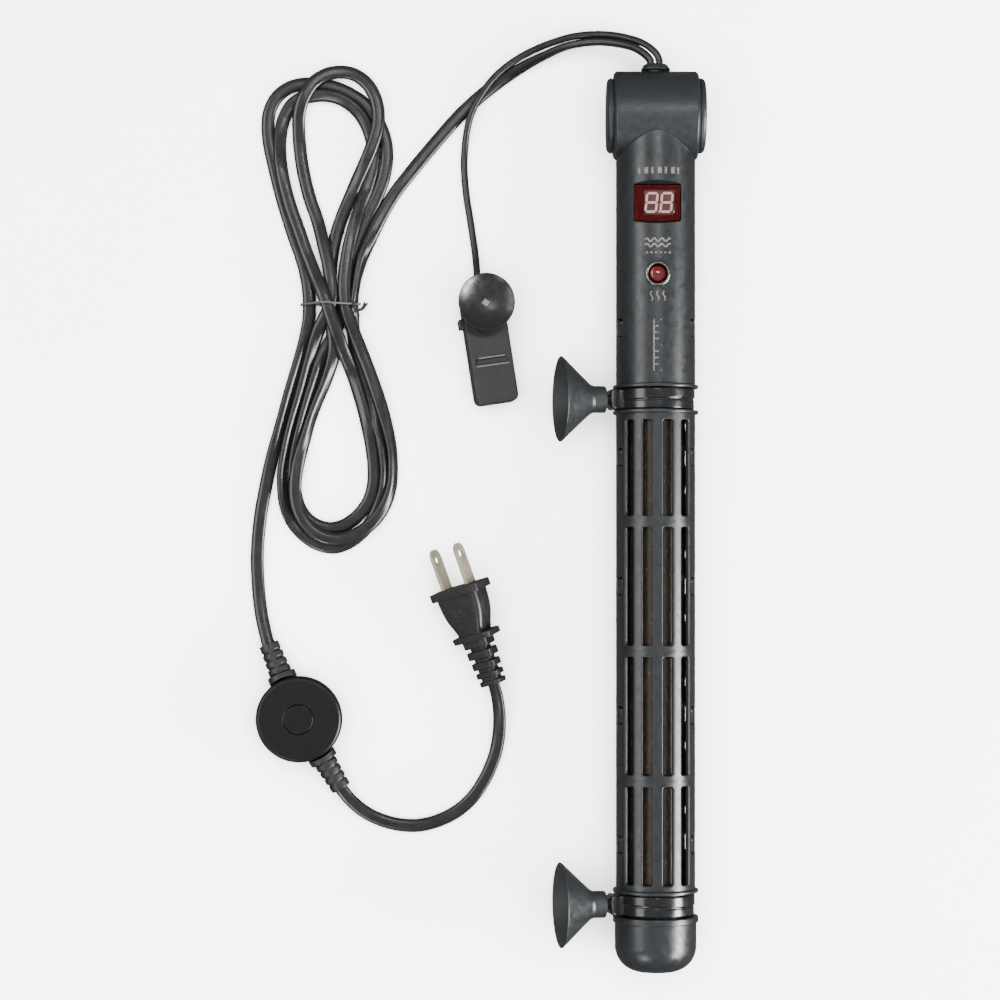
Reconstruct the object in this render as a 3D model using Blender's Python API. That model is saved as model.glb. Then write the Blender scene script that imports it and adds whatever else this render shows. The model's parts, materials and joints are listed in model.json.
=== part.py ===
"""Submersible aquarium heater with a display head, an external temperature sensor and a corded plug.

The heater lies on a table, its long axis along +Y and its display facing +Z. Sizes are in millimetres
and are turned into metres when a mesh is made. The origin is under the middle of the heater, on the
table. The heater's own frame has +Z from the end cap to the cable gland, and -Y towards its display.
"""

import math

import bmesh
import bpy
from mathutils import Matrix, Vector

MM = 0.001
GAP = 0.3

# Heater: lengths run from the tip of the end cap to the top of the cable gland.
HEATER_LENGTH = 377.4
TUBE_R = 16.5
TUBE_WALL = 1.6
FLANGE_R = 17.8
FLANGE_T = 1.6
NECK_R = 13.7
SHELL_BORE_R = TUBE_R - TUBE_WALL
COLLAR_R = SHELL_BORE_R - 0.4

END_CAP_R = 17.0
END_CAP_TOP = 20.7
LOWER_GROOVE = (23.3, 33.2)
UPPER_GROOVE = (233.2, 242.5)

# The guard has four bays of slots, and the latches sit half-way between its cross bars.
BAY_PITCH = 53.5
BAY_BRIDGE = 4.7
FIRST_BAR = 80.05
SLOT_WIDTH = 4.4
SLOT_ANGLES = (-45, -15, 15, 45)
GUARD_SLOTS_END = (37.0, 229.0)
LATCH_ANGLE = 70
LATCH_FIRST = 53.3
LATCH_SIZE = (5.6, 7.6)

HEAD_R = 18.3
HEAD_WALL = 2.0
HEAD_Z = 356.2
HEAD_HALF = 17.6
DISC_R = 15.5
DISC_OUT = 20.4

QUARTZ_R = 12.3
QUARTZ_SPAN = (26.8, 236.0)

DISPLAY_Z = 318.3
DISPLAY_SIZE = (19.1, 14.9)
DISPLAY_RECESS = (23.0, 17.5)
DISPLAY_FACE = 13.1
INDICATOR_Z = 288.7

# Suction cups: distances are from the heater's axis, and the cups tip up out of the horizontal.
CUP_R = 17.8
CUP_MOUTH = 40.5
CUP_TILT = math.radians(9.6)
BRACKET_HALF = 4.35
BRACKET_R = 16.3
SOCKET_OUT = 20.0

AXIS_X = (CUP_MOUTH * math.cos(CUP_TILT) + CUP_R * math.sin(CUP_TILT) - DISC_OUT) / 2
AXIS_Z = HEAD_R

# Cords: the power cord is a flat twin, given by its width and thickness.
CORD_W = 5.6
CORD_T = 3.2
LEAD_D = 3.0
END_STRAIGHT = 2.0

# Routes: x, y, z, and how far the flat cord is turned from lying on its wide side, in degrees.
HEATER_CORD = [
    (9.2, 189.4, 18.3, 90),
    (8.9, 190.8, 18.3, 90),
    (7.0, 193.1, 18.1, 90),
    (2.4, 196.2, 17.2, 90),
    (-3.9, 198.2, 15.4, 90),
    (-11.5, 199.3, 13.0, 90),
    (-19.1, 199.3, 10.5, 90),
    (-26.7, 198.1, 8.0, 90),
    (-34.2, 195.4, 6.0, 80),
    (-41.7, 191.9, 4.5, 65),
    (-49.0, 187.8, 3.3, 45),
    (-55.8, 183.4, 2.4, 25),
    (-64.1, 176.8, 1.8, 8),
    (-71.4, 169.8, 1.7, 0),
    (-80.4, 159.6, 1.7, 0),
    (-88.2, 150.3, 1.7, 0),
    (-95.2, 141.5, 1.9, 0),
]
CONTROLLER_CORD = [
    (-152.7, 13.2, 1.7, 0),
    (-155.0, 0.0, 1.7, 0),
    (-156.2, -15.0, 1.7, 0),
    (-155.7, -29.0, 1.8, 0),
    (-154.2, -41.0, 3.0, 0),
    (-151.4, -52.4, 4.9, 0),
]
PLUG_CORD = [
    (-120.2, -114.1, 4.9, 0),
    (-116.4, -118.9, 3.6, 0),
    (-110.2, -124.1, 2.3, 0),
    (-102.4, -127.7, 1.7, 0),
    (-94.6, -129.4, 1.7, 0),
    (-87.0, -129.4, 1.7, 0),
    (-79.4, -127.4, 1.7, 0),
    (-71.9, -123.6, 1.7, 0),
    (-65.2, -117.7, 1.7, 0),
    (-59.8, -109.6, 1.9, 0),
    (-55.9, -100.3, 2.6, -4),
    (-54.1, -91.6, 3.9, -12),
    (-53.8, -82.9, 5.8, -22),
    (-54.6, -75.6, 7.8, -31),
    (-56.1, -69.7, 8.9, -36),
]
SENSOR_LEAD = [
    (12.9, 189.4, 18.3, 0),
    (12.7, 190.8, 18.3, 0),
    (11.3, 194.1, 18.3, 0),
    (6.4, 198.5, 17.6, 0),
    (-0.5, 201.5, 16.0, 0),
    (-7.9, 203.4, 14.0, 0),
    (-15.2, 204.0, 11.8, 0),
    (-22.5, 203.6, 9.8, 0),
    (-29.8, 201.8, 8.2, 0),
    (-37.3, 199.2, 7.2, 0),
    (-44.6, 195.5, 6.8, 0),
    (-50.6, 191.2, 6.6, 0),
    (-56.2, 185.6, 6.3, 0),
    (-60.2, 180.5, 5.9, 0),
    (-63.8, 174.7, 5.5, 0),
    (-66.2, 169.0, 4.9, 0),
    (-67.7, 162.6, 3.2, 0),
    (-68.5, 155.4, 1.7, 0),
    (-68.7, 148.0, 1.6, 0),
    (-67.9, 137.9, 1.6, 0),
    (-66.4, 128.0, 1.6, 0),
    (-65.0, 119.0, 2.0, 0),
    (-63.8, 110.0, 3.9, 0),
    (-63.2, 102.6, 6.4, 0),
]

# The hank of cord, from its upper loops to its lower ones: y, left x, right x, underside z, top z.
HANK = [
    (191.0, -125.0, -116.0, 2.0, 9.0),
    (186.0, -136.5, -108.5, 0.0, 10.0),
    (176.0, -150.0, -103.2, 0.0, 10.0),
    (165.5, -154.0, -101.3, 0.0, 10.0),
    (154.5, -153.2, -98.7, 0.0, 10.0),
    (143.8, -149.7, -98.7, 0.0, 10.0),
    (140.0, -148.4, -95.0, 0.0, 10.0),
    (124.0, -143.5, -101.8, 0.0, 10.0),
    (106.0, -137.6, -110.8, 0.0, 10.0),
    (95.0, -136.6, -113.6, 2.0, 11.5),
    (86.0, -136.8, -114.7, 2.0, 11.5),
    (77.0, -138.0, -114.0, 0.0, 10.0),
    (66.5, -141.4, -110.5, 0.0, 10.0),
    (48.5, -146.0, -103.8, 0.0, 10.0),
    (30.5, -150.7, -98.2, 0.0, 10.0),
    (14.8, -155.2, -96.3, 0.0, 10.0),
    (14.1, -147.3, -96.3, 0.0, 10.0),
    (5.5, -145.6, -98.0, 0.0, 10.0),
    (-4.2, -140.7, -103.5, 0.0, 10.0),
    (-11.0, -134.4, -111.0, 0.0, 10.0),
    (-14.9, -127.5, -119.5, 2.0, 8.0),
]
TIE_Y = 90.6
TIE_X = (-138.3, -112.2)
TIE_Z = (0.9, 12.5)
TIE_WIRE_R = 0.6

# Inline controller on the power cord.
CONTROLLER_AT = (-138.0, -84.3)
CONTROLLER_R = 18.1
BUTTON_R = 6.1
RELIEF_BASE = 18.8
RELIEF_LENGTH = 15.3
RELIEF_HEIGHTS = (6.5, 5.0)
RELIEF_ANGLES = {"strain_relief_in": 112.5, "strain_relief_out": -59.0}

# Plug: two flat blades, rolled over so that it rests on the corners of its flanges.
PLUG_AT = (-56.2, -69.3, 9.0)
PLUG_TURN = math.radians(19.7)
PLUG_PITCH = math.radians(4.9)
PLUG_ROLL = math.radians(-36)
BLADE_SPACING = 12.7
BLADE_SIZE = (1.5, 17.5, 6.35)

# External sensor, lying on its back with its suction cup up.
SENSOR_AT = (-62.0, 89.6, 1.8)
SENSOR_TURN = math.radians(8.8)
SENSOR_ROLL = math.radians(9)
SENSOR_W = 18.0
SENSOR_SPAN = (-41.8, 10.5)
SENSOR_SPLIT = 4.8
SENSOR_TOP = 10.0
SENSOR_CUP_R = 12.0
SENSOR_CUP_Z = 19.2


def material(name, colour, roughness, metallic=0.0):
    made = bpy.data.materials.new(name)
    made.use_nodes = True
    shader = made.node_tree.nodes["Principled BSDF"]
    shader.inputs["Base Color"].default_value = (*colour, 1)
    shader.inputs["Roughness"].default_value = roughness
    shader.inputs["Metallic"].default_value = metallic
    return made


def empty(name, location=(0, 0, 0), rotation=(0, 0, 0), order="XYZ", parent=None):
    made = bpy.data.objects.new(name, None)
    made.rotation_mode = order
    made.location = Vector(location) * MM
    made.rotation_euler = rotation
    made.parent = parent
    bpy.context.scene.collection.objects.link(made)
    return made


def add(name, bm, surface, parent=None, location=(0, 0, 0), rotation=(0, 0, 0)):
    """One named object from a mesh whose points are in millimetres."""
    bmesh.ops.recalc_face_normals(bm, faces=bm.faces)
    bmesh.ops.scale(bm, vec=(MM, MM, MM), verts=bm.verts)
    mesh = bpy.data.meshes.new(name)
    bm.to_mesh(mesh)
    bm.free()
    mesh.shade_smooth()
    mesh.set_sharp_from_angle(angle=math.radians(35))
    made = bpy.data.objects.new(name, mesh)
    if surface:
        mesh.materials.append(surface)
    made.location = Vector(location) * MM
    made.rotation_euler = rotation
    made.parent = parent
    bpy.context.scene.collection.objects.link(made)
    return made


def turned(profile, segments=32, start=0.0, sweep=math.tau):
    """Turns (radius, height) points about Z: a closed ring, or a solid whose ends are on the axis."""
    bm = bmesh.new()
    whole = sweep >= math.tau
    columns = segments if whole else segments + 1
    rows = []
    for radius, height in profile:
        if radius == 0:
            rows.append([bm.verts.new((0, 0, height))] * columns)
            continue
        angles = [start + sweep * k / segments for k in range(columns)]
        rows.append([bm.verts.new((radius * math.cos(a), radius * math.sin(a), height)) for a in angles])
    closed = profile[0][0] != 0
    pairs = list(zip(rows, rows[1:])) + ([(rows[-1], rows[0])] if closed else [])
    for low, high in pairs:
        for k in range(segments):
            n = (k + 1) % columns
            corners = list(dict.fromkeys([low[k], low[n], high[n], high[k]]))
            if len(corners) > 2:
                bm.faces.new(corners)
    if not whole:
        bm.faces.new([row[0] for row in rows])
        bm.faces.new([row[-1] for row in reversed(rows)])
    return bm


def block(low, high, bevel=0.0, steps=1):
    """A box between two corners, with its edges rounded."""
    bm = bmesh.new()
    bmesh.ops.create_cube(bm, size=1)
    size = [b - a for a, b in zip(low, high)]
    middle = [(a + b) / 2 for a, b in zip(low, high)]
    bmesh.ops.scale(bm, vec=size, verts=bm.verts)
    bmesh.ops.translate(bm, vec=middle, verts=bm.verts)
    if bevel:
        bmesh.ops.bevel(bm, geom=bm.edges, offset=bevel, segments=steps, affect="EDGES", profile=0.5)
    return bm


def rounded(width, height, corner, steps=3):
    """Points of a rounded rectangle about the origin, counter-clockwise."""
    points = []
    for turn, (sx, sy) in enumerate([(1, 1), (-1, 1), (-1, -1), (1, -1)]):
        for k in range(steps):
            angle = math.radians(90 * (turn + k / (steps - 1)))
            x = sx * (width / 2 - corner) + corner * math.cos(angle)
            y = sy * (height / 2 - corner) + corner * math.sin(angle)
            points.append((x, y))
    return points


def lofted(rings):
    """A solid through rings of equal counts of 3-D points, closed by a face at each end."""
    bm = bmesh.new()
    rows = [[bm.verts.new(point) for point in ring] for ring in rings]
    for low, high in zip(rows, rows[1:]):
        for k in range(len(low)):
            n = (k + 1) % len(low)
            bm.faces.new((low[k], low[n], high[n], high[k]))
    bm.faces.new(rows[0])
    bm.faces.new(rows[-1])
    return bm


def prism(outline, low, high, axis="Z"):
    """An outline of 2-D points pushed along an axis; for X the outline is (y, z)."""
    place = {"Z": lambda p, h: (p[0], p[1], h), "X": lambda p, h: (h, p[0], p[1])}[axis]
    return lofted([[place(p, low) for p in outline], [place(p, high) for p in outline]])


def boolean(target, bm, operation="DIFFERENCE", location=(0, 0, 0), rotation=(0, 0, 0)):
    """Cuts a mesh from an object, or joins it on, in the object's own parent frame."""
    tool = add(f"{target.name}_tool_{len(target.modifiers)}", bm, None, target.parent, location, rotation)
    tool.hide_render = True
    tool.display_type = "WIRE"
    modifier = target.modifiers.new("Shape", "BOOLEAN")
    modifier.operation = operation
    modifier.solver = "EXACT"
    modifier.object = tool


def merged(meshes):
    """Several closed meshes as one cutter."""
    bm = bmesh.new()
    for other in meshes:
        scratch = bpy.data.meshes.new("scratch")
        other.to_mesh(scratch)
        other.free()
        bm.from_mesh(scratch)
        bpy.data.meshes.remove(scratch)
    return bm


def moved(bm, matrix):
    bmesh.ops.transform(bm, matrix=matrix, verts=bm.verts)
    return bm


def smooth(route, step):
    """Points about a step apart on a smooth curve through a route of (x, y, z, turn) points."""
    knots = [Vector(p) for p in route]
    knots = [2 * knots[0] - knots[1], *knots, 2 * knots[-1] - knots[-2]]
    fine = []
    for a, b, c, d in zip(knots, knots[1:], knots[2:], knots[3:]):
        for k in range(12):
            t = k / 12
            fine.append(0.5 * (2 * b + (c - a) * t + (2 * a - 5 * b + 4 * c - d) * t * t
                               + (3 * b - 3 * c + d - a) * t ** 3))
    fine.append(knots[-2])
    along = [0.0]
    for a, b in zip(fine, fine[1:]):
        along.append(along[-1] + (b.xyz - a.xyz).length)
    inner = along[-1] - 2 * END_STRAIGHT
    count = max(2, round(inner / step))
    stops = [0, *(END_STRAIGHT + inner * k / count for k in range(count + 1)), along[-1]]
    points = []
    for target in stops:
        i = min(next(n for n, s in enumerate(along) if s >= target - 1e-9), len(fine) - 1)
        if i == 0:
            points.append(fine[0])
            continue
        share = (target - along[i - 1]) / (along[i] - along[i - 1])
        points.append(fine[i - 1].lerp(fine[i], share))
    return points


def tube(name, route, width, thickness, surface, step):
    """A cord's solid: a curve with a bevel, widened by an extrusion where the cord is flat."""
    curve = bpy.data.curves.new(name, "CURVE")
    curve.dimensions = "3D"
    curve.twist_mode = "Z_UP"
    curve.bevel_depth = thickness / 2 * MM
    curve.extrude = (width - thickness) / 2 * MM
    curve.bevel_resolution = 2
    curve.use_fill_caps = True
    points = smooth(route, step)
    spline = curve.splines.new("POLY")
    spline.points.add(len(points) - 1)
    for point, place in zip(spline.points, points):
        point.co = (*(place.xyz * MM), 1)
        point.tilt = math.radians(90 - place.w)
    curve.materials.append(surface)
    made = bpy.data.objects.new(name, curve)
    bpy.context.scene.collection.objects.link(made)
    return made


def end_cap(frame, shell):
    round_r = 9.0
    corner = [(END_CAP_R - round_r + round_r * math.sin(a), round_r - round_r * math.cos(a))
              for a in (math.radians(22.5 * k) for k in range(5))]
    profile = [
        (0, 0),
        *corner,
        (END_CAP_R, END_CAP_TOP),
        (FLANGE_R, END_CAP_TOP),
        (FLANGE_R, LOWER_GROOVE[0]),
        (NECK_R, LOWER_GROOVE[0]),
        (NECK_R, LOWER_GROOVE[1]),
        (COLLAR_R, LOWER_GROOVE[1]),
        (COLLAR_R, GUARD_SLOTS_END[0]),
        (QUARTZ_R + 0.5, GUARD_SLOTS_END[0]),
        (QUARTZ_R + 0.5, 24.2),
        (10.6, 24.2),
        (10.6, 7.0),
        (0, 7.0),
    ]
    add("end_cap", turned(profile, 32), shell, frame)


def heating_element(frame, quartz, ceramic, wire, rubber):
    low, high = QUARTZ_SPAN
    add("tube_cushion", turned([(8.6, 24.5), (12.4, 24.5), (12.4, 26.5), (8.6, 26.5)], 24), rubber, frame)
    wall = 1.1
    tube_profile = [
        (0, low),
        (QUARTZ_R - 1.6, low),
        (QUARTZ_R, low + 1.6),
        (QUARTZ_R, high),
        (QUARTZ_R - wall, high),
        (QUARTZ_R - wall, low + 2.2),
        (0, low + 2.2),
    ]
    add("heating_tube", turned(tube_profile, 32), quartz, frame)
    core_r = 6.4
    add("element_core", turned([(0, 34), (core_r, 34), (core_r, 214), (0, 214)], 16), ceramic, frame)
    coil_r, wire_d, pitch, turns = 8.2, 1.4, 18.0, 9
    steps = 8
    coil = [(coil_r * math.cos(math.tau * k / steps), coil_r * math.sin(math.tau * k / steps),
             40 + pitch * k / steps) for k in range(turns * steps + 1)]
    curve = bpy.data.curves.new("heating_coil", "CURVE")
    curve.dimensions = "3D"
    curve.bevel_depth = wire_d / 2 * MM
    curve.bevel_resolution = 0
    curve.use_fill_caps = True
    spline = curve.splines.new("POLY")
    spline.points.add(len(coil) - 1)
    for point, place in zip(spline.points, coil):
        point.co = (*(Vector(place) * MM), 1)
    curve.materials.append(wire)
    made = bpy.data.objects.new("heating_coil", curve)
    made.parent = frame
    bpy.context.scene.collection.objects.link(made)
    stopper = [(1.2, 219), (10.8, 219), (10.8, 234.5), (1.2, 234.5)]
    add("tube_stopper", turned(stopper, 20), rubber, frame)
    seal = [(10.4, 236.3), (12.6, 236.3), (12.6, 239.3), (10.4, 239.3)]
    add("tube_seal", turned(seal, 24), rubber, frame)


def middle_collar(frame, shell):
    """The neck that the upper bracket turns on; it joins the guard to the housing over the quartz tube."""
    low, high = UPPER_GROOVE
    profile = [
        (QUARTZ_R + 0.5, low - 3.8),
        (COLLAR_R, low - 3.8),
        (COLLAR_R, low),
        (NECK_R, low),
        (NECK_R, high),
        (COLLAR_R, high),
        (COLLAR_R, high + 4.5),
        (9.5, high + 4.5),
        (9.5, high - 2.9),
        (QUARTZ_R + 0.5, high - 2.9),
    ]
    add("middle_collar", turned(profile, 32), shell, frame)


def half_shell(profile, front):
    """Half of a turned shell; the two halves meet in the plane through the heater's axis and X."""
    part = math.asin(GAP / 2 / SHELL_BORE_R)
    start = (math.pi if front else 0) + part
    return turned(profile, 16, start, math.pi - 2 * part)


def radial_slot(angle, width, low, high):
    """A cutter through the shell at an angle from the front, which is -Y."""
    bm = block((-width / 2, -TUBE_R - 2, low), (width / 2, -SHELL_BORE_R + 2.5, high))
    return moved(bm, Matrix.Rotation(math.radians(angle), 4, "Z"))


def guard(frame, shell):
    low, high = LOWER_GROOVE[1], UPPER_GROOVE[0]
    profile = [
        (SHELL_BORE_R, low),
        (FLANGE_R, low),
        (FLANGE_R, low + FLANGE_T),
        (TUBE_R, low + FLANGE_T),
        (TUBE_R, high - FLANGE_T),
        (FLANGE_R, high - FLANGE_T),
        (FLANGE_R, high),
        (SHELL_BORE_R, high),
    ]
    bars = [FIRST_BAR + BAY_PITCH * k for k in range(3)]
    starts = [GUARD_SLOTS_END[0], *(bar + BAY_BRIDGE / 2 for bar in bars)]
    stops = [*(bar - BAY_BRIDGE / 2 for bar in bars), GUARD_SLOTS_END[1]]
    front = add("guard_front", half_shell(profile, True), shell, frame)
    slots = [radial_slot(a, SLOT_WIDTH, z0, z1) for a in SLOT_ANGLES for z0, z1 in zip(starts, stops)]
    latches = [radial_slot(side * LATCH_ANGLE, LATCH_SIZE[0], z - LATCH_SIZE[1] / 2, z + LATCH_SIZE[1] / 2)
               for side in (-1, 1) for z in (LATCH_FIRST + BAY_PITCH * k for k in range(4))]
    boolean(front, merged(slots + latches))
    rear = add("guard_rear", half_shell(profile, False), shell, frame)
    slots = [radial_slot(180 + a, SLOT_WIDTH, z0, z1) for a in (-15, 15) for z0, z1 in zip(starts, stops)]
    rungs = [radial_slot(180 + side * 52, SLOT_WIDTH, z + shift - tall / 2, z + shift + tall / 2)
             for side in (-1, 1) for z in (LATCH_FIRST + BAY_PITCH * k for k in range(4))
             for shift, tall in ((-13.3, 3.5), (0, 7.0), (13.3, 3.5)) if z + shift > GUARD_SLOTS_END[0] + 4]
    boolean(rear, merged(slots + rungs))


def housing(frame, shell):
    low = UPPER_GROOVE[1]
    profile = [
        (SHELL_BORE_R, low),
        (FLANGE_R, low),
        (FLANGE_R, low + FLANGE_T),
        (TUBE_R, low + FLANGE_T),
        (TUBE_R, HEAD_Z),
        (SHELL_BORE_R, HEAD_Z),
    ]
    latch_z = LATCH_FIRST + BAY_PITCH * 4
    for name, front in (("housing_front", True), ("housing_rear", False)):
        half = add(name, half_shell(profile, front), shell, frame)
        if front:
            # A solid boss behind the curved wall, for the display's recess to be sunk into.
            boss_r, boss_back = TUBE_R - 0.5, 11.0
            reach = math.acos(boss_back / boss_r)
            outline = [(boss_r * math.sin(a), -boss_r * math.cos(a))
                       for a in (reach * (k / 6 - 1) for k in range(13))]
            boolean(half, prism(outline, DISPLAY_Z - 11, DISPLAY_Z + 11), "UNION")
            outer = rounded(*(side + 1.6 for side in DISPLAY_RECESS), 1.2)
            inner = rounded(*(side + 2 * GAP for side in DISPLAY_SIZE), 0.6)
            rings = [[(x, y, DISPLAY_Z + z) for x, z in ring]
                     for y, ring in ((-TUBE_R - 1.4, outer), (-DISPLAY_FACE - 0.1, inner), (-9.0, inner))]
            boolean(half, lofted(rings))
            boolean(half, turned([(0, 9), (4.7, 9), (4.7, 20), (0, 20)], 20), location=(0, 0, INDICATOR_Z),
                    rotation=(math.radians(90), 0, 0))
            boolean(half, merged([radial_slot(side * LATCH_ANGLE, LATCH_SIZE[0], latch_z - LATCH_SIZE[1] / 2,
                                              latch_z + LATCH_SIZE[1] / 2) for side in (-1, 1)]))
        saddle_r = HEAD_R + GAP
        saddle = turned([(0, -20), (saddle_r, -20), (saddle_r, 20), (0, 20)], 40)
        boolean(half, saddle, location=(0, 0, HEAD_Z), rotation=(0, math.radians(90), 0))


def head(frame, shell):
    """The drum across the top, its two end discs, and the gland that both cords leave by."""
    bore = HEAD_R - HEAD_WALL
    profile = [
        (bore, -HEAD_HALF),
        (HEAD_R - 1.7, -HEAD_HALF),
        (HEAD_R, -HEAD_HALF + 1.7),
        (HEAD_R, HEAD_HALF - 1.7),
        (HEAD_R - 1.7, HEAD_HALF),
        (bore, HEAD_HALF),
    ]
    sideways = (0, math.radians(90), 0)
    drum = add("head_housing", turned(profile, 40), shell, frame, (0, 0, HEAD_Z), sideways)
    boolean(drum, turned([(0, -24), (12, -24), (12, 0), (0, 0)], 24), location=(0, 0, HEAD_Z))
    boolean(drum, turned([(0, 4), (4.4, 4), (4.4, 24), (0, 24)], 16), location=(0, 0, HEAD_Z))
    disc = [
        (0, 13.5),
        (bore - GAP, 13.5),
        (bore - GAP, 17.8),
        (13.2, 17.8),
        (13.2, 18.4),
        (DISC_R, 18.4),
        (DISC_R, DISC_OUT - 0.8),
        (DISC_R - 0.8, DISC_OUT),
        (0, DISC_OUT),
    ]
    add("head_end_disc_right", turned(disc, 28), shell, frame, (0, 0, HEAD_Z), sideways)
    add("head_end_disc_left", turned(disc, 28), shell, frame, (0, 0, HEAD_Z), (0, math.radians(-90), 0))
    top = HEAD_Z + HEAD_R
    gland = [
        (0, top - 9.5),
        (3.9, top - 9.5),
        (3.9, top + 0.4),
        (6.1, top + 0.4),
        (6.1, top + 1.4),
        (5.2, HEATER_LENGTH),
        (0, HEATER_LENGTH),
    ]
    add("cable_gland", turned(gland, 20), shell, frame)
    nut = [(4.3, top - 8.4), (6.2, top - 8.4), (6.2, top - 4.4), (4.3, top - 4.4)]
    add("gland_nut", turned(nut, 12), shell, frame)


def electronics(frame, lens, chrome, board_green, part_black, part_metal, digit_white):
    half_w, half_h = DISPLAY_SIZE[0] / 2, DISPLAY_SIZE[1] / 2
    add("display_lens", block((-half_w, -DISPLAY_FACE, DISPLAY_Z - half_h),
                              (half_w, -DISPLAY_FACE + 1.5, DISPLAY_Z + half_h)), lens, frame)
    add("display_module", block((-8.8, -11.2, DISPLAY_Z - 6.8), (8.8, -6.4, DISPLAY_Z + 6.8)), digit_white,
        frame)
    face_on = (math.radians(90), 0, 0)
    bezel = [(4.0, 12.2), (4.4, 12.2), (4.4, 16.9), (5.2, 16.9), (5.2, 17.3), (4.5, 17.7), (4.0, 17.2)]
    add("indicator_bezel", turned(bezel, 24), chrome, frame, (0, 0, INDICATOR_Z), face_on)
    dome = [(0, 12.6), (3.7, 12.6), (3.7, 16.2), (2.6, 16.9), (0, 17.2)]
    add("indicator_lens", turned(dome, 20), lens, frame, (0, 0, INDICATOR_Z), face_on)
    led = [(0, 6.4), (2.4, 6.4), (2.4, 11.2), (1.4, 12.2), (0, 12.3)]
    add("indicator_led", turned(led, 12), lens, frame, (0, 0, INDICATOR_Z), face_on)
    add("control_board", block((-12, -6.0, 262), (12, -4.4, 336)), board_green, frame)
    add("power_relay", block((-6, -4.0, 266), (6, 5.2, 284)), part_black, frame)
    add("filter_capacitor", turned([(0, 292), (4.2, 292), (4.2, 306), (0, 306)], 16), part_metal, frame,
        (0, 1.0, 0))
    add("thermal_fuse", turned([(0, 249.5), (2.0, 249.5), (2.0, 261), (0, 261)], 12), part_metal, frame,
        (6, 6, 0))


def bracket(frame, side, groove, shell, rubber):
    """A clip ring that turns in the heater's groove, and the suction cup that turns on its pin."""
    axis = empty(f"{side}_bracket_axis", (0, 0, sum(groove) / 2), (0, 0, CUP_TILT), parent=frame)
    bore = NECK_R + GAP
    ring = [(bore, -BRACKET_HALF), (BRACKET_R, -BRACKET_HALF), (BRACKET_R, BRACKET_HALF), (bore, BRACKET_HALF)]
    made = add(f"{side}_bracket", turned(ring, 32), shell, axis)
    socket = block((-SOCKET_OUT, -5.2, -BRACKET_HALF + 0.1), (-15.0, 5.2, BRACKET_HALF - 0.1), 0.8)
    boolean(made, socket, "UNION")
    outwards = (0, math.radians(-90), 0)
    pin = [(0, 18.5), (2.2, 18.5), (2.2, 22.9), (3.0, 22.9), (3.0, 24.2), (2.2, 24.8), (0, 24.8)]
    boolean(made, turned(pin, 16), "UNION", rotation=outwards)
    cup = [
        (0, 26.4),
        (3.5, 26.4),
        (3.5, 22.4),
        (2.6, 22.4),
        (2.6, 21.4),
        (5.2, 21.4),
        (5.6, 21.8),
        (5.6, 27.3),
        (CUP_R - 0.4, CUP_MOUTH - 0.6),
        (CUP_R, CUP_MOUTH - 0.2),
        (CUP_R, CUP_MOUTH),
        (CUP_R - 1.0, CUP_MOUTH),
        (10.0, 34.0),
        (5.0, 31.0),
        (0, 30.2),
    ]
    add(f"{side}_suction_cup", turned(cup, 28), rubber, axis, rotation=outwards)


def controller(shell, button_black, board_green, part_black, rubber):
    frame = empty("controller_frame", (*CONTROLLER_AT, 0))
    base = [(0, 0), (16.9, 0), (17.7, 0.8), (17.7, 5.5), (16.0, 5.5), (16.0, 1.8), (0, 1.8)]
    add("controller_base", turned(base, 32), shell, frame)
    cover = [
        (6.6, 12.9),
        (6.6, 11.2),
        (15.4, 11.2),
        (16.2, 10.4),
        (16.2, 5.8),
        (CONTROLLER_R, 5.8),
        (CONTROLLER_R, 11.1),
        (17.3, 12.5),
        (16.2, 12.9),
    ]
    add("controller_cover", turned(cover, 32), shell, frame)
    button = [(0, 8.9), (7.4, 8.9), (7.4, 10.2), (BUTTON_R, 10.2), (BUTTON_R, 12.6), (5.4, 13.3), (0, 13.4)]
    add("controller_button", turned(button, 20), button_black, frame)
    add("controller_board", turned([(0, 2.6), (14.5, 2.6), (14.5, 4.2), (0, 4.2)], 24), board_green, frame)
    add("button_switch", block((-3, -3, 4.5), (3, 3, 7.6)), part_black, frame)
    high, low = RELIEF_HEIGHTS
    for name, angle in RELIEF_ANGLES.items():
        away = math.radians(angle)
        at = Vector((*CONTROLLER_AT, high)) + RELIEF_BASE * Vector((math.cos(away), math.sin(away), 0))
        down = math.atan2(high - low, RELIEF_LENGTH)
        ribs = [(0, 0), (6.1, 0), (6.1, 1.5)]
        for k in range(4):
            radius = 4.9 - 0.2 * k
            z = 2.4 + 3.3 * k
            ribs += [(radius - 0.7, z - 0.3), (radius, z), (radius, z + 1.9), (radius - 0.7, z + 2.2)]
        ribs[-1] = (ribs[-2][0], RELIEF_LENGTH)
        ribs.append((0, RELIEF_LENGTH))
        add(name, turned(ribs, 12), rubber, None, at, (0, math.radians(90) + down, away))


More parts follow.
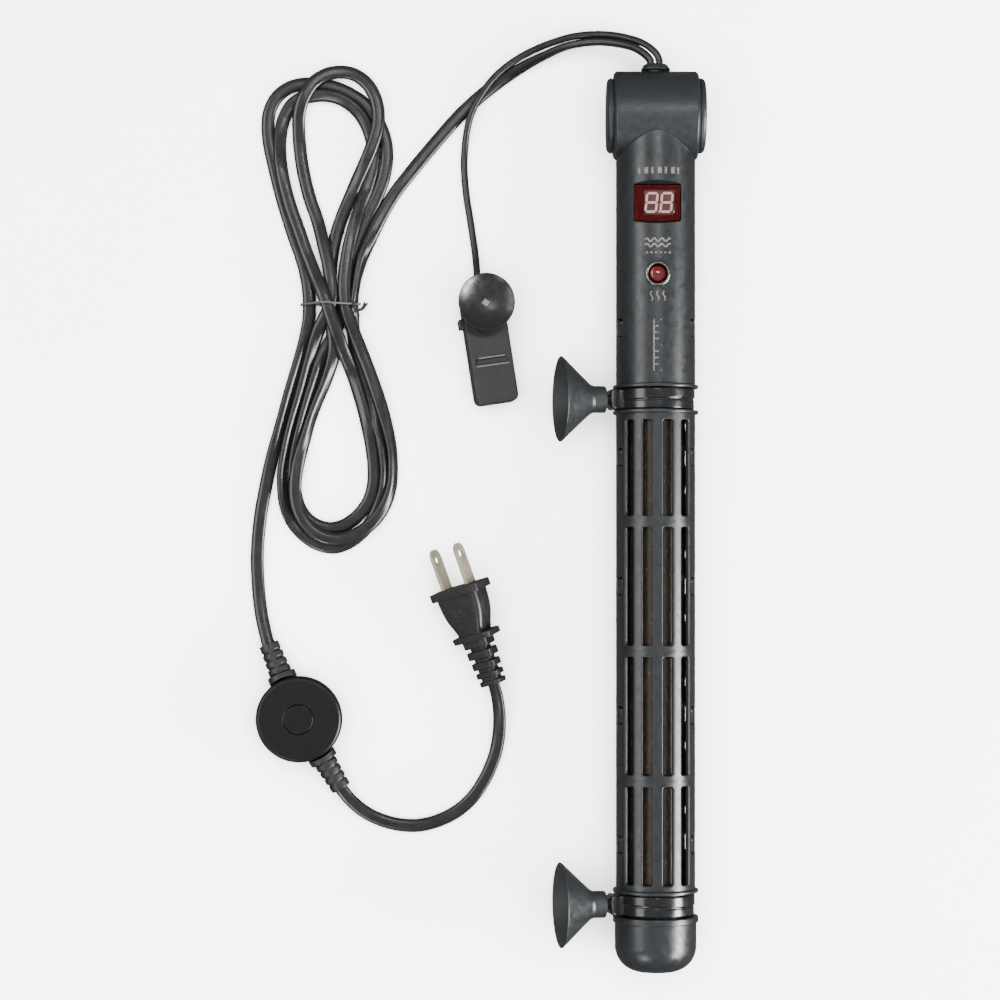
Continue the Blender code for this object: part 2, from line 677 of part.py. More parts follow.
def plug(rubber, blade_metal):
    frame = empty("plug_frame", PLUG_AT, (PLUG_PITCH, PLUG_ROLL, PLUG_TURN), "YXZ")
    ribs = ((0.0, 2.0, 10.8, 7.0), (3.6, 5.8, 11.2, 7.3), (7.6, 10.4, 11.7, 7.7), (12.2, 15.4, 12.3, 8.1))
    stations = []
    for start, stop, width, height in ribs:
        stations += [(start, width, height), (stop, width, height), (stop, 8.4, 5.8), (stop + 1.6, 8.4, 5.8)]
    stations[-1] = (17.0, 8.4, 5.8)
    stations += [
        (17.0, 12.4, 8.4),
        (20.2, 12.4, 8.8),
        (20.2, 19.6, 10.6),
        (22.8, 19.6, 10.6),
        (22.8, 12.6, 9.2),
        (30.0, 16.2, 9.8),
        (36.0, 19.4, 10.4),
        (40.2, 20.6, 10.6),
        (40.2, 25.0, 12.6),
        (43.5, 25.0, 12.6),
    ]
    rings = [[(x, y, z) for x, z in rounded(width, height, 1.6, 2)] for y, width, height in stations]
    add("plug_body", lofted(rings), rubber, frame)
    thick, long, wide = BLADE_SIZE
    start = stations[-1][0] + GAP
    tip_r = 3.0
    nose = [(start + long - tip_r + tip_r * math.sin(a), tip_r * math.cos(a))
            for a in (math.radians(30 * k) for k in range(7))]
    outline = [(start, wide / 2), (start + long - tip_r, wide / 2), *nose[1:-1],
               (start + long - tip_r, -wide / 2), (start, -wide / 2)]
    for name, side in (("plug_blade_left", -1), ("plug_blade_right", 1)):
        middle = side * BLADE_SPACING / 2
        blade = add(name, prism(outline, middle - thick / 2, middle + thick / 2, "X"), blade_metal, frame)
        hole = turned([(0, -2), (1.6, -2), (1.6, 2), (0, 2)], 14)
        boolean(blade, hole, location=(middle, start + long - 4.6, 0), rotation=(0, math.radians(90), 0))


def sensor(shell, rubber, board_green, part_metal):
    frame = empty("sensor_frame", SENSOR_AT, (0, SENSOR_ROLL, SENSOR_TURN))
    back, front = SENSOR_SPAN
    half = SENSOR_W / 2
    base = add("sensor_base", block((-half, back, 0), (half, front, SENSOR_SPLIT), 1.4, 2), shell, frame)
    boolean(base, block((-half + 2, back + 2, 1.6), (half - 2, front - 2, SENSOR_SPLIT + 3)))
    low = SENSOR_SPLIT + GAP
    cover = add("sensor_cover", block((-half, back, low), (half, front, SENSOR_TOP), 1.4, 2), shell, frame)
    boolean(cover, block((-half + 2, back + 2, low - 3), (half - 2, front - 2, SENSOR_TOP - 1.6)))
    stud = [(0, SENSOR_TOP - 1), (1.6, SENSOR_TOP - 1), (1.6, 12.8), (2.2, 12.8), (2.2, 13.8), (0, 13.8)]
    boolean(cover, turned(stud, 12), "UNION")
    cup = [
        (0, 14.8),
        (2.7, 14.8),
        (2.7, 12.4),
        (2.0, 12.4),
        (2.0, 10.8),
        (4.2, 10.8),
        (4.2, 13.4),
        (SENSOR_CUP_R - 0.3, SENSOR_CUP_Z - 0.5),
        (SENSOR_CUP_R, SENSOR_CUP_Z - 0.2),
        (SENSOR_CUP_R, SENSOR_CUP_Z),
        (SENSOR_CUP_R - 0.9, SENSOR_CUP_Z),
        (7.0, 17.0),
        (0, 16.0),
    ]
    add("sensor_cup", turned(cup, 24), rubber, frame)
    grommet = [(0, front + GAP), (2.6, front + GAP), (2.3, 12.2), (0, 12.2)]
    add("sensor_grommet", turned(grommet, 12), rubber, frame, (0, 0, 5.0), (math.radians(-90), 0, 0))
    add("thermistor", turned([(0, 27), (1.7, 27), (1.7, 37.5), (0, 37.5)], 12), part_metal, frame, (0, 0, 5.4),
        (math.radians(90), 0, 0))
    add("sensor_board", block((-5.5, -24, 4.2), (5.5, -6, 5.6)), board_green, frame)


def hank(surface, tie_wire):
    """The folded cord as one solid, and the wire tie round its waist."""
    rings = []
    for y, left, right, low, high in HANK:
        outline = rounded(right - left, high - low, min(2.5, (right - left) / 4), 2)
        rings.append([((left + right) / 2 + x, y, (low + high) / 2 + z) for x, z in outline])
    add("cord_hank", lofted(rings), surface)
    left, right = TIE_X
    low, high = TIE_Z
    loop = rounded(right - left, high - low, 2.6)
    curve = bpy.data.curves.new("cord_tie", "CURVE")
    curve.dimensions = "3D"
    curve.bevel_depth = TIE_WIRE_R * MM
    curve.bevel_resolution = 1
    spline = curve.splines.new("POLY")
    spline.points.add(len(loop) - 1)
    for point, (x, z) in zip(spline.points, loop):
        point.co = ((x + (left + right) / 2) * MM, TIE_Y * MM, (z + (low + high) / 2) * MM, 1)
    spline.use_cyclic_u = True
    curve.materials.append(tie_wire)
    bpy.context.scene.collection.objects.link(bpy.data.objects.new("cord_tie", curve))


def main():
    for old in list(bpy.data.objects):
        bpy.data.objects.remove(old)
    shell = material("satin_black_plastic", (0.045, 0.048, 0.052), 0.38)
    rubber = material("soft_rubber", (0.03, 0.033, 0.036), 0.6)
    cord_pvc = material("cord_pvc", (0.025, 0.026, 0.028), 0.4)
    controller_black = material("controller_plastic", (0.012, 0.012, 0.013), 0.3)
    quartz = material("smoked_quartz", (0.06, 0.04, 0.025), 0.15)
    ceramic = material("ceramic", (0.7, 0.66, 0.58), 0.7)
    wire = material("resistance_wire", (0.45, 0.4, 0.36), 0.4, 1.0)
    lens = material("red_lens", (0.3, 0.01, 0.012), 0.12)
    chrome = material("chrome", (0.8, 0.8, 0.8), 0.12, 1.0)
    brass = material("blade_metal", (0.6, 0.55, 0.42), 0.3, 1.0)
    green = material("circuit_board", (0.02, 0.14, 0.06), 0.5)
    part_black = material("component_plastic", (0.02, 0.02, 0.02), 0.5)
    part_metal = material("component_metal", (0.6, 0.6, 0.62), 0.35, 1.0)
    digit_white = material("display_face", (0.75, 0.77, 0.74), 0.5)
    tie_wire = material("tie_coating", (0.05, 0.05, 0.05), 0.5)

    heater = empty("heater_axis", (AXIS_X, -HEATER_LENGTH / 2, AXIS_Z), (math.radians(-90), 0, 0))
    end_cap(heater, shell)
    heating_element(heater, quartz, ceramic, wire, rubber)
    middle_collar(heater, shell)
    guard(heater, shell)
    housing(heater, shell)
    head(heater, shell)
    electronics(heater, lens, chrome, green, part_black, part_metal, digit_white)
    bracket(heater, "lower", LOWER_GROOVE, shell, rubber)
    bracket(heater, "upper", UPPER_GROOVE, shell, rubber)
    controller(controller_black, controller_black, green, part_black, rubber)
    plug(rubber, brass)
    sensor(shell, rubber, green, part_metal)
    hank(cord_pvc, tie_wire)
    tube("power_cord_heater", HEATER_CORD, CORD_W, CORD_T, cord_pvc, 11)
    tube("power_cord_controller", CONTROLLER_CORD, CORD_W, CORD_T, cord_pvc, 12)
    tube("power_cord_plug", PLUG_CORD, CORD_W, CORD_T, cord_pvc, 10)
    tube("sensor_lead", SENSOR_LEAD, LEAD_D, LEAD_D, cord_pvc, 7.5)


main()
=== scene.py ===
"""Submersible aquarium heater: the looks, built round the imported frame.

Shapes are worked out in millimetres and turned into metres when a piece is made. The heater's own frame
has +Z from the end cap to the cable gland and -Y towards its display, and lies along +Y in the scene.
"""
import json
import math

import bmesh
import bpy
from mathutils import Euler, Matrix, Vector
from mathutils.geometry import convex_hull_2d


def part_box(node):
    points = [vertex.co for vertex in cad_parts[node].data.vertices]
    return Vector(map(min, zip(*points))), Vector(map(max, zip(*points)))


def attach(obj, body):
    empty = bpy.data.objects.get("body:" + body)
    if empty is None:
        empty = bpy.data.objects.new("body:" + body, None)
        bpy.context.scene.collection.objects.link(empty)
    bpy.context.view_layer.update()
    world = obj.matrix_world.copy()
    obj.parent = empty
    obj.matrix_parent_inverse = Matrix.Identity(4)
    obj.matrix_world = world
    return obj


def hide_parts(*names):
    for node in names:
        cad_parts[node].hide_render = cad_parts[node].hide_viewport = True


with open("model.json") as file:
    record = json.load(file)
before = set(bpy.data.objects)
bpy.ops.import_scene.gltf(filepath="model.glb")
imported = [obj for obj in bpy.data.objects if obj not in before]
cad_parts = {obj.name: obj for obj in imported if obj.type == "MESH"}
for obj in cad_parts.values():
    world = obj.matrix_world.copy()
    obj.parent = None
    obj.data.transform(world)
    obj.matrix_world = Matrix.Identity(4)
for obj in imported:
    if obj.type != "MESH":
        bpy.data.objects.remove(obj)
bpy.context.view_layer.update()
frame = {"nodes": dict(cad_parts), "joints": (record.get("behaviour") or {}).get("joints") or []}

MM = 0.001
GAP = 0.3
JOINTS = {joint["name"]: joint for joint in frame["joints"]}

# Heater, along its own axis from the tip of the end cap.
HEATER_LENGTH = 377.4
TUBE_R = 16.5
BORE_R = 14.9
FLANGE_R = 17.8
FLANGE_T = 1.6
NECK_R = 13.7
COLLAR_R = 14.5
END_CAP_R = 17.0
END_CAP_TOP = 20.7
LOWER_GROOVE = (23.3, 33.2)
UPPER_GROOVE = (233.2, 242.5)
QUARTZ_R = 12.3
QUARTZ_SPAN = (26.8, 236.0)

# The guard's bays, one above another: slots, a bar between each two bays, and latches between its halves.
BAYS = 4
FIRST_BAR = 80.05
BAY_PITCH = 53.5
BAY_BRIDGE = 4.7
SLOTS_END = (37.0, 229.0)
SLOT_WIDTH = 4.4
LATCH_FIRST = 53.3
LATCH_ANGLE = 70
LATCH_EDGE = 56.45
LATCH_SIZE = (5.6, 7.6)
SEAM = math.asin(GAP / 2 / BORE_R)
SADDLE_FROM = 330.5
SADDLE_TOP = 350.0

HEAD_R = 18.3
HEAD_Z = 356.2
HEAD_HALF = 17.6
HEAD_ROUND = 1.7
DISC_R = 15.5
DISC_OUT = 20.4

DISPLAY_Z = 318.3
DISPLAY_SIZE = (19.1, 14.9)
DISPLAY_FACE = 13.1
INDICATOR_Z = 288.7
DOME_R = 3.35

CUP_R = 17.8
CUP_MOUTH = 40.5
BRACKET_HALF = 4.35
BRACKET_R = 16.3
SOCKET_OUT = 20.0

CONTROLLER_R = 18.1
BUTTON_R = 6.1
RELIEF_BASE = 18.8
RELIEF_LENGTH = 15.3
BASE_DEPTH = -0.5
RELIEF_HEIGHTS = (6.5, 5.0)
RELIEF_ANGLES = {"in": 112.5, "out": -59.0}

PLUG_AT = (-56.2, -69.3, 9.0)
PLUG_ANGLES = (4.9, -36.0, 19.7)
BLADE_SPACING = 12.7
BLADE_SIZE = (1.5, 17.5, 6.35)

SENSOR_W = 18.0
SENSOR_SPAN = (-41.8, 10.5)
SENSOR_SPLIT = 4.8
SENSOR_TOP = 10.0
SENSOR_CUP_R = 12.0
SENSOR_CUP_Z = 19.2

# Cords: the power cord is a flat twin, given by its width and thickness.
CORD_W = 5.6
CORD_T = 3.2
FLOOR_GAP = 0.03
LEAD_D = 3.0
CORD_GROOVE = 0.10
CORD_SIDES = 36

# Routes: x, y, z, and where it isn't nought, how far the flat cord is turned from lying on its wide side,
# in degrees. A positive turn lifts the side on the right of its way.
HEATER_CORD = [
    (9.2, 183.0, 18.3, 90), (9.2, 189.4, 18.3, 90), (8.9, 190.8, 18.3, 90), (7.0, 193.1, 18.1, 90),
    (2.4, 196.2, 17.2, 90), (-3.9, 198.2, 15.4, 90), (-11.5, 199.5, 13.0, 90), (-19.1, 199.5, 10.5, 90),
    (-26.7, 198.3, 8.0, 90), (-34.2, 195.4, 6.0, 80), (-41.7, 191.9, 4.5, 65), (-49.0, 187.8, 3.3, 45),
    (-55.8, 183.4, 2.4, 25), (-64.1, 176.8, 1.8, 8), (-71.4, 169.8, 1.7), (-80.4, 159.6, 1.7),
    (-88.2, 150.3, 1.7), (-95.2, 141.5, 1.9),
]
HANKED_CORD = [
    # In through the tie, down the right, round the bottom and back up the left.
    (-98.9, 136.4, 1.7), (-103.7, 128.1, 2.0), (-107.7, 119.5, 2.9, 15), (-111.4, 110.5, 4.0, 45),
    (-113.8, 100.8, 4.3, 75), (-115.2, 91.1, 4.1, 70), (-115.7, 84.9, 2.3, 15), (-115.5, 78.6, 1.7),
    (-114.4, 71.5, 1.7), (-111.9, 62.6, 1.7), (-108.7, 53.3, 1.7), (-105.8, 42.7, 1.9, 15),
    (-103.6, 32.1, 2.6, 50), (-102.3, 22.4, 2.6, 55), (-102.5, 14.3, 2.6, 50), (-103.8, 8.0, 2.2, 30),
    (-106.6, 1.3, 1.8, 10), (-110.9, -4.7, 1.6), (-116.4, -9.3, 1.6), (-122.4, -11.8, 1.6),
    (-127.5, -11.6, 1.6), (-132.7, -9.6, 1.6), (-137.1, -6.2, 1.6, -5), (-140.7, -2.2, 1.8, -12),
    (-143.3, 2.7, 2.0, -25), (-144.8, 7.6, 2.3, -40), (-145.5, 13.1, 2.6, -50), (-145.6, 19.8, 2.6, -60),
    (-144.5, 27.0, 2.6, -60), (-142.9, 35.0, 2.6, -60), (-140.9, 42.6, 2.6, -58), (-138.8, 49.4, 2.5, -50),
    (-136.6, 57.4, 2.5, -45), (-134.6, 65.1, 2.5, -45), (-132.3, 73.0, 3.2, -30), (-129.7, 80.5, 4.8, -12),
    (-126.8, 86.2, 6.1), (-125.0, 91.5, 6.5),
    # Over the top, in the middle of its loops.
    (-124.8, 98.4, 6.4), (-125.8, 106.5, 5.7), (-128.0, 115.6, 4.4), (-130.5, 125.4, 2.3),
    (-134.2, 136.4, 1.7), (-136.8, 147.3, 1.7), (-138.2, 157.5, 1.9), (-138.6, 165.3, 2.9),
    (-138.2, 171.6, 4.4), (-136.3, 177.6, 5.3), (-132.5, 183.7, 5.0), (-126.9, 187.4, 4.6),
    (-120.9, 188.5, 4.2), (-115.2, 187.5, 4.2), (-110.0, 183.9, 4.6), (-106.4, 178.1, 5.0),
    (-104.9, 171.5, 5.0), (-105.2, 165.0, 5.0), (-107.1, 158.4, 5.0), (-110.0, 151.2, 4.7),
    (-113.7, 143.5, 2.9, -15), (-117.4, 134.9, 1.8, -5), (-120.4, 127.7, 1.7), (-122.9, 119.7, 1.7),
    (-124.6, 111.2, 1.9), (-125.5, 101.4, 2.6), (-125.8, 91.8, 3.1),
    # Down the left, round the bottom on top of the first fold and up the right.
    (-125.3, 86.1, 3.7), (-124.2, 79.6, 4.7), (-123.5, 74.1, 4.9), (-123.7, 69.5, 4.6, 10),
    (-124.9, 64.6, 3.4, 32), (-127.5, 57.0, 2.7, 45), (-130.7, 49.4, 2.6, 50), (-133.5, 41.8, 2.8, 52),
    (-135.7, 34.2, 3.5, 42), (-137.9, 26.5, 4.5, 22), (-139.5, 18.9, 4.9, 5), (-140.0, 11.3, 4.9),
    (-138.9, 4.6, 4.9), (-136.2, -1.1, 4.9), (-132.0, -5.6, 4.9), (-126.5, -8.2, 4.9), (-120.6, -8.5, 4.9),
    (-114.5, -6.7, 4.9), (-109.2, -3.2, 4.8, -5), (-104.6, 1.6, 4.4, -20), (-101.3, 7.5, 3.6, -35),
    (-99.3, 14.3, 2.9, -50), (-98.8, 22.4, 2.7, -55), (-99.5, 31.2, 2.8, -52), (-101.8, 41.3, 3.6, -32),
    (-105.0, 51.8, 4.5, -10), (-108.6, 61.9, 4.9), (-112.2, 71.2, 5.0), (-115.5, 79.5, 5.8),
    (-117.8, 85.8, 6.4), (-118.9, 91.5, 6.5),
    # Over the top, and across the front at the tie.
    (-119.2, 98.9, 6.3), (-118.4, 108.2, 5.6), (-116.9, 116.3, 5.0, -5), (-114.8, 124.4, 4.4, -15),
    (-112.3, 132.6, 3.0, -25), (-109.8, 139.8, 1.9, -8), (-107.8, 147.6, 1.7), (-107.1, 154.8, 1.6),
    (-108.2, 161.8, 1.8, 5), (-110.9, 168.1, 2.7, 20), (-115.1, 173.3, 3.5, 30), (-120.6, 177.0, 3.8, 30),
    (-126.4, 178.6, 3.8, 30), (-132.3, 178.6, 3.1, 22), (-137.9, 177.6, 2.1, 5), (-142.0, 174.7, 1.6),
    (-144.9, 169.2, 1.7), (-146.3, 162.7, 2.3, 15), (-146.5, 155.8, 3.3, 25), (-145.9, 148.8, 4.6, 10),
    (-144.5, 141.0, 4.9), (-142.0, 131.9, 4.9), (-138.3, 121.4, 4.9), (-134.7, 111.2, 5.3),
    (-131.0, 101.7, 7.4), (-128.5, 96.0, 9.3), (-126.4, 90.7, 9.8),
    # Down the inside right, round the bottom and up the left.
    (-124.4, 84.6, 9.6), (-122.4, 78.8, 9.0), (-120.4, 73.1, 7.6), (-118.1, 67.0, 5.0),
    (-115.6, 60.4, 3.0, -15), (-112.7, 51.1, 2.8, -22), (-110.2, 41.8, 2.5, -18), (-108.1, 32.1, 1.8, -5),
    (-106.9, 22.4, 1.7), (-107.1, 14.4, 1.7), (-109.2, 7.4, 1.7), (-113.4, 1.7, 1.6), (-118.7, -2.3, 1.6),
    (-124.4, -4.0, 1.6), (-129.7, -3.2, 1.6), (-134.3, -0.6, 1.6), (-137.7, 3.6, 1.6), (-139.6, 8.7, 1.6),
    (-140.5, 14.4, 1.7, -5), (-140.7, 20.7, 2.2, -28), (-140.2, 27.4, 2.6, -50), (-138.9, 34.6, 2.7, -60),
    (-137.0, 41.8, 2.6, -58), (-134.8, 49.4, 2.5, -50), (-132.3, 57.4, 2.5, -45), (-129.9, 65.1, 2.3, -35),
    (-127.1, 71.9, 1.9, -15), (-123.7, 78.2, 1.7), (-121.2, 84.9, 2.2), (-119.9, 91.8, 3.1),
    # Up the right, over the top outside the other loops and down the left.
    (-118.8, 99.2, 2.9), (-117.0, 108.6, 2.0), (-113.8, 118.0, 1.6), (-109.7, 127.5, 1.6),
    (-105.6, 136.4, 1.6), (-102.7, 144.4, 1.6), (-101.4, 153.1, 1.6), (-102.2, 160.7, 1.6),
    (-105.0, 167.9, 1.6), (-109.7, 174.4, 1.6), (-115.8, 179.1, 1.6), (-122.7, 182.2, 1.6),
    (-129.7, 183.6, 1.6), (-136.4, 183.9, 1.6), (-142.4, 182.5, 1.6), (-147.6, 178.7, 1.6),
    (-150.8, 173.0, 1.6), (-151.7, 166.6, 1.6), (-151.2, 159.4, 1.6), (-149.5, 151.0, 1.6),
    (-145.9, 136.4, 1.6), (-141.5, 121.8, 1.6), (-137.5, 110.4, 1.8), (-135.1, 101.0, 2.6),
    (-134.1, 91.6, 3.1),
    # Out of the tie and away down the left.
    (-134.5, 83.2, 2.6, 10), (-136.3, 74.8, 2.4, 30), (-139.1, 65.1, 2.4, 40), (-141.4, 57.5, 2.4, 42),
    (-143.7, 49.4, 2.4, 42), (-145.8, 41.4, 2.4, 42), (-148.0, 33.4, 2.2, 35), (-150.2, 24.9, 1.9, 15),
]
CONTROLLER_CORD = [
    (-152.7, 13.2, 1.7), (-155.0, 0.0, 1.7), (-156.2, -15.0, 1.7), (-155.7, -29.0, 1.8),
    (-154.2, -41.0, 3.0), (-151.4, -52.4, 4.9), (-149.8, -56.2, 5.4),
]
PLUG_CORD = [
    (-122.6, -110.2, 5.4), (-120.2, -114.1, 4.9), (-116.4, -118.9, 3.6), (-110.2, -124.1, 2.3),
    (-102.4, -127.7, 1.7), (-94.6, -129.4, 1.7), (-87.0, -129.4, 1.7), (-79.4, -127.4, 1.7),
    (-71.9, -123.6, 1.7), (-65.2, -117.7, 1.7), (-59.8, -109.6, 1.9), (-55.9, -100.3, 2.6, 4),
    (-54.1, -91.6, 3.9, 12), (-53.8, -82.9, 5.8, 22), (-54.6, -75.6, 7.8, 31), (-56.1, -69.7, 8.9, 36),
    (-57.3, -66.3, 9.3, 36),
]
SENSOR_LEAD = [
    (12.9, 183.0, 18.3), (12.9, 189.4, 18.3), (12.7, 190.8, 18.3), (11.5, 193.6, 18.3), (6.8, 197.6, 17.6),
    (-0.2, 200.5, 16.0), (-7.7, 202.2, 14.0), (-15.2, 202.8, 11.8), (-22.6, 202.4, 9.8),
    (-30.0, 200.7, 8.2), (-37.6, 198.0, 7.2), (-44.9, 194.4, 6.8), (-50.8, 190.4, 6.6), (-56.2, 185.6, 6.3),
    (-60.2, 180.5, 5.9), (-63.8, 174.7, 5.5), (-66.2, 169.0, 4.9), (-67.7, 162.6, 3.2), (-68.5, 155.4, 1.7),
    (-68.7, 148.0, 1.6), (-67.9, 137.9, 1.6), (-66.4, 128.0, 1.6), (-65.0, 119.0, 2.0), (-63.8, 110.0, 3.9),
    (-63.2, 102.6, 6.4), (-62.9, 99.6, 6.8),
]
# Where the strands of the hank pass through its tie: x, z, and the turn of the strand.
TIE_SECTIONS = [
    (-134.1, 3.1, 0), (-125.8, 3.1, 0), (-119.9, 3.1, 0), (-115.2, 4.1, 70), (-125.0, 6.5, 0),
    (-118.9, 6.5, 0), (-126.4, 9.8, 0),
]
TIE_WIRE_R = 0.5

# Where the camera stands above the table, its lens, and how far its picture is shifted.
CAMERA_AT = (-53.55, -25.8, 1122.3)
CAMERA_LENS = 95.4
CAMERA_SHIFT = 0.08
FLOOR_Z = -0.2


def rotation(degrees, axis):
    return Matrix.Rotation(math.radians(degrees), 4, axis)


def heater_frame():
    axis = JOINTS["upper_bracket_turn"]["pos_m"]
    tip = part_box("end_cap")[0][1]
    at = Vector((axis[0], tip, axis[2])) / MM
    return Matrix.Translation(at) @ rotation(-90, "X")


def cup_tilt():
    axis = JOINTS["upper_cup_spin"]["axis"]
    return math.atan2(axis[2], -axis[0])


def sensor_frame():
    joint = JOINTS["sensor_cup_spin"]
    x, y, z = joint["axis"]
    turn = Euler((0, math.acos(z), math.atan2(y, x))).to_matrix().to_4x4()
    return Matrix.Translation(Vector(joint["pos_m"]) / MM) @ turn


def controller_frame():
    low, high = (Vector(corner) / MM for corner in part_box("controller_base"))
    return Matrix.Translation(((low.x + high.x) / 2, (low.y + high.y) / 2, 0))


def relief_frame(name):
    """Its Z runs outwards along the cord, and its X is up."""
    high, low = RELIEF_HEIGHTS
    away = math.radians(RELIEF_ANGLES[name])
    down = math.atan2(high - low, RELIEF_LENGTH)
    base = controller_frame() @ Vector((RELIEF_BASE * math.cos(away), RELIEF_BASE * math.sin(away), high))
    return Matrix.Translation(base) @ Euler((0, math.radians(90) + down, away)).to_matrix().to_4x4()


HEATER = heater_frame()
SENSOR = sensor_frame()
CONTROLLER = controller_frame()
PLUG_TURN = Euler([math.radians(a) for a in PLUG_ANGLES], "YXZ")
PLUG = Matrix.Translation(PLUG_AT) @ PLUG_TURN.to_matrix().to_4x4()
DRUM = HEATER @ Matrix.Translation((0, 0, HEAD_Z)) @ rotation(90, "Y")


def mesh_of(bm, name="scratch"):
    """A mesh made from a bmesh, which is freed."""
    mesh = bpy.data.meshes.new(name)
    bm.to_mesh(mesh)
    bm.free()
    return mesh


def into_scene(name, data):
    made = bpy.data.objects.new(name, data)
    bpy.context.scene.collection.objects.link(made)
    return made


class Skin:
    """A mesh made face by face, in millimetres. Points that coincide are shared."""

    def __init__(self):
        self.bm = bmesh.new()
        self.found = {}

    def vert(self, point):
        key = tuple(round(c, 3) + 0.0 for c in point)
        if key not in self.found:
            self.found[key] = self.bm.verts.new(point)
        return self.found[key]

    def face(self, points):
        corners = list(dict.fromkeys(self.vert(p) for p in points))
        if len(corners) > 2 and self.bm.faces.get(corners) is None:
            self.bm.faces.new(corners)

    def strip(self, low, high, closed=True):
        for k in range(len(low) if closed else len(low) - 1):
            n = (k + 1) % len(low)
            self.face((low[k], low[n], high[n], high[k]))

    def wrap(self, rings, closed=True):
        """A skin through rings of points; a closed one runs on from the last ring to the first."""
        for low, high in zip(rings, rings[1:] + rings[:1] if closed else rings[1:]):
            self.strip(low, high)
        return self

    def loft(self, rings):
        """A solid through rings of points, with a face at each end."""
        self.wrap(rings, closed=False)
        self.face(rings[0])
        self.face(rings[-1])
        return self

    def moved(self, matrix):
        """Moves what is there so far; what is added later is left where it is put."""
        bmesh.ops.transform(self.bm, matrix=matrix, verts=self.bm.verts)
        self.found = {}
        return self

    def join(self, other):
        scratch = mesh_of(other.bm)
        self.bm.from_mesh(scratch)
        bpy.data.meshes.remove(scratch)
        self.found = {}
        return self


def soften(points, radius, steps=3, cyclic=False):
    """Rounds the corners of a 2-D outline; an open one keeps its two ends."""
    count = len(points)
    made = []
    for k, point in enumerate(points):
        if not cyclic and k in (0, count - 1):
            made.append(tuple(point))
            continue
        corner = Vector(point)
        back = Vector(points[k - 1]) - corner
        ahead = Vector(points[(k + 1) % count]) - corner
        if math.pi - back.angle(ahead) < 0.15:
            made.append(tuple(point))
            continue
        reach = min(radius, back.length * 0.45, ahead.length * 0.45)
        start = corner + back.normalized() * reach
        stop = corner + ahead.normalized() * reach
        for j in range(steps + 1):
            t = j / steps
            made.append(tuple(start * (1 - t) ** 2 + corner * 2 * t * (1 - t) + stop * t * t))
    return made


def arc(centre, radius, start, stop, steps):
    """Points on a circle, from one angle to another in degrees."""
    angles = [math.radians(start + (stop - start) * k / steps) for k in range(steps + 1)]
    return [(centre[0] + radius * math.cos(a), centre[1] + radius * math.sin(a)) for a in angles]


def turned(profile, segments=96, soft=0.3, shape=None):
    """Turns (radius, height) points about Z: a closed ring, or a solid whose ends are on the axis."""
    ring = profile[0][0] != 0
    outline = soften(profile, soft, cyclic=ring) if soft else profile
    rows = []
    for radius, height in outline:
        row = []
        for k in range(segments):
            angle = math.tau * k / segments
            r, h = shape(radius, height, angle) if shape else (radius, height)
            row.append((r * math.cos(angle), r * math.sin(angle), h))
        rows.append(row)
    return Skin().wrap(rows, closed=ring)


def rounded(width, height, corner, across=7, along=7, fine=2):
    """A rounded rectangle about the origin, counter-clockwise from the middle of its lower left corner.

    Its lower and upper sides have `across` points and the others `along`; half a corner has `fine` steps.
    """
    half_w, half_h = width / 2 - corner, height / 2 - corner
    centres = [(-half_w, -half_h), (half_w, -half_h), (half_w, half_h), (-half_w, half_h)]
    points = []
    for side, count in enumerate((across, along, across, along)):
        start, stop = Vector(centres[side]), Vector(centres[(side + 1) % 4])
        straight = count - 2 * fine
        first = math.radians(225 + 90 * side)

        def at(centre, angle):
            return centre + corner * Vector((math.cos(angle), math.sin(angle)))

        points += [at(start, first + math.radians(45) * j / fine) for j in range(fine + 1)]
        middle = first + math.radians(45)
        points += [at(start.lerp(stop, j / straight), middle) for j in range(1, straight)]
        points += [at(stop, middle + math.radians(45) * j / fine) for j in range(fine)]
    return [tuple(p) for p in points]


def block(low, high, soft=0.4, steps=3):
    """A box between two corners, with rounded edges."""
    bm = bmesh.new()
    bmesh.ops.create_cube(bm, size=1)
    bmesh.ops.scale(bm, vec=[b - a for a, b in zip(low, high)], verts=bm.verts)
    bmesh.ops.translate(bm, vec=[(a + b) / 2 for a, b in zip(low, high)], verts=bm.verts)
    bmesh.ops.bevel(bm, geom=bm.edges, offset=soft, segments=steps, affect="EDGES", profile=0.5)
    skin = Skin()
    skin.bm.free()
    skin.bm = bm
    return skin


def on_shell(angle, height, radius):
    """A point of the heater's tube: the angle is from the middle of its display side, towards +X."""
    return Vector((radius * math.sin(angle), -radius * math.cos(angle), height))


def spaced(stops, counts):
    """Values from stop to stop, so many steps between each two, and the index of each stop."""
    values, marks = [stops[0]], [0]
    for start, stop, count in zip(stops, stops[1:], counts):
        values += [start + (stop - start) * k / count for k in range(1, count + 1)]
        marks.append(len(values) - 1)
    return values, marks


def opening(angle, height, width, tall, corner):
    """The rings of a hole through the shell, from its outer face to its inner one, with rounded edges."""
    levels = ((1.0, TUBE_R), (0.42, TUBE_R), (0.13, TUBE_R - 0.1), (0, TUBE_R - 0.4), (0, BORE_R + 0.2),
              (0.2, BORE_R), (1.0, BORE_R))

    def rings(across, along):
        made = []
        for grow, radius in levels:
            outline = rounded(width + 2 * grow, tall + 2 * grow, corner + grow, across, along)
            made.append([on_shell(angle + x / TUBE_R, height + y, radius) for x, y in outline])
        return made
    return rings


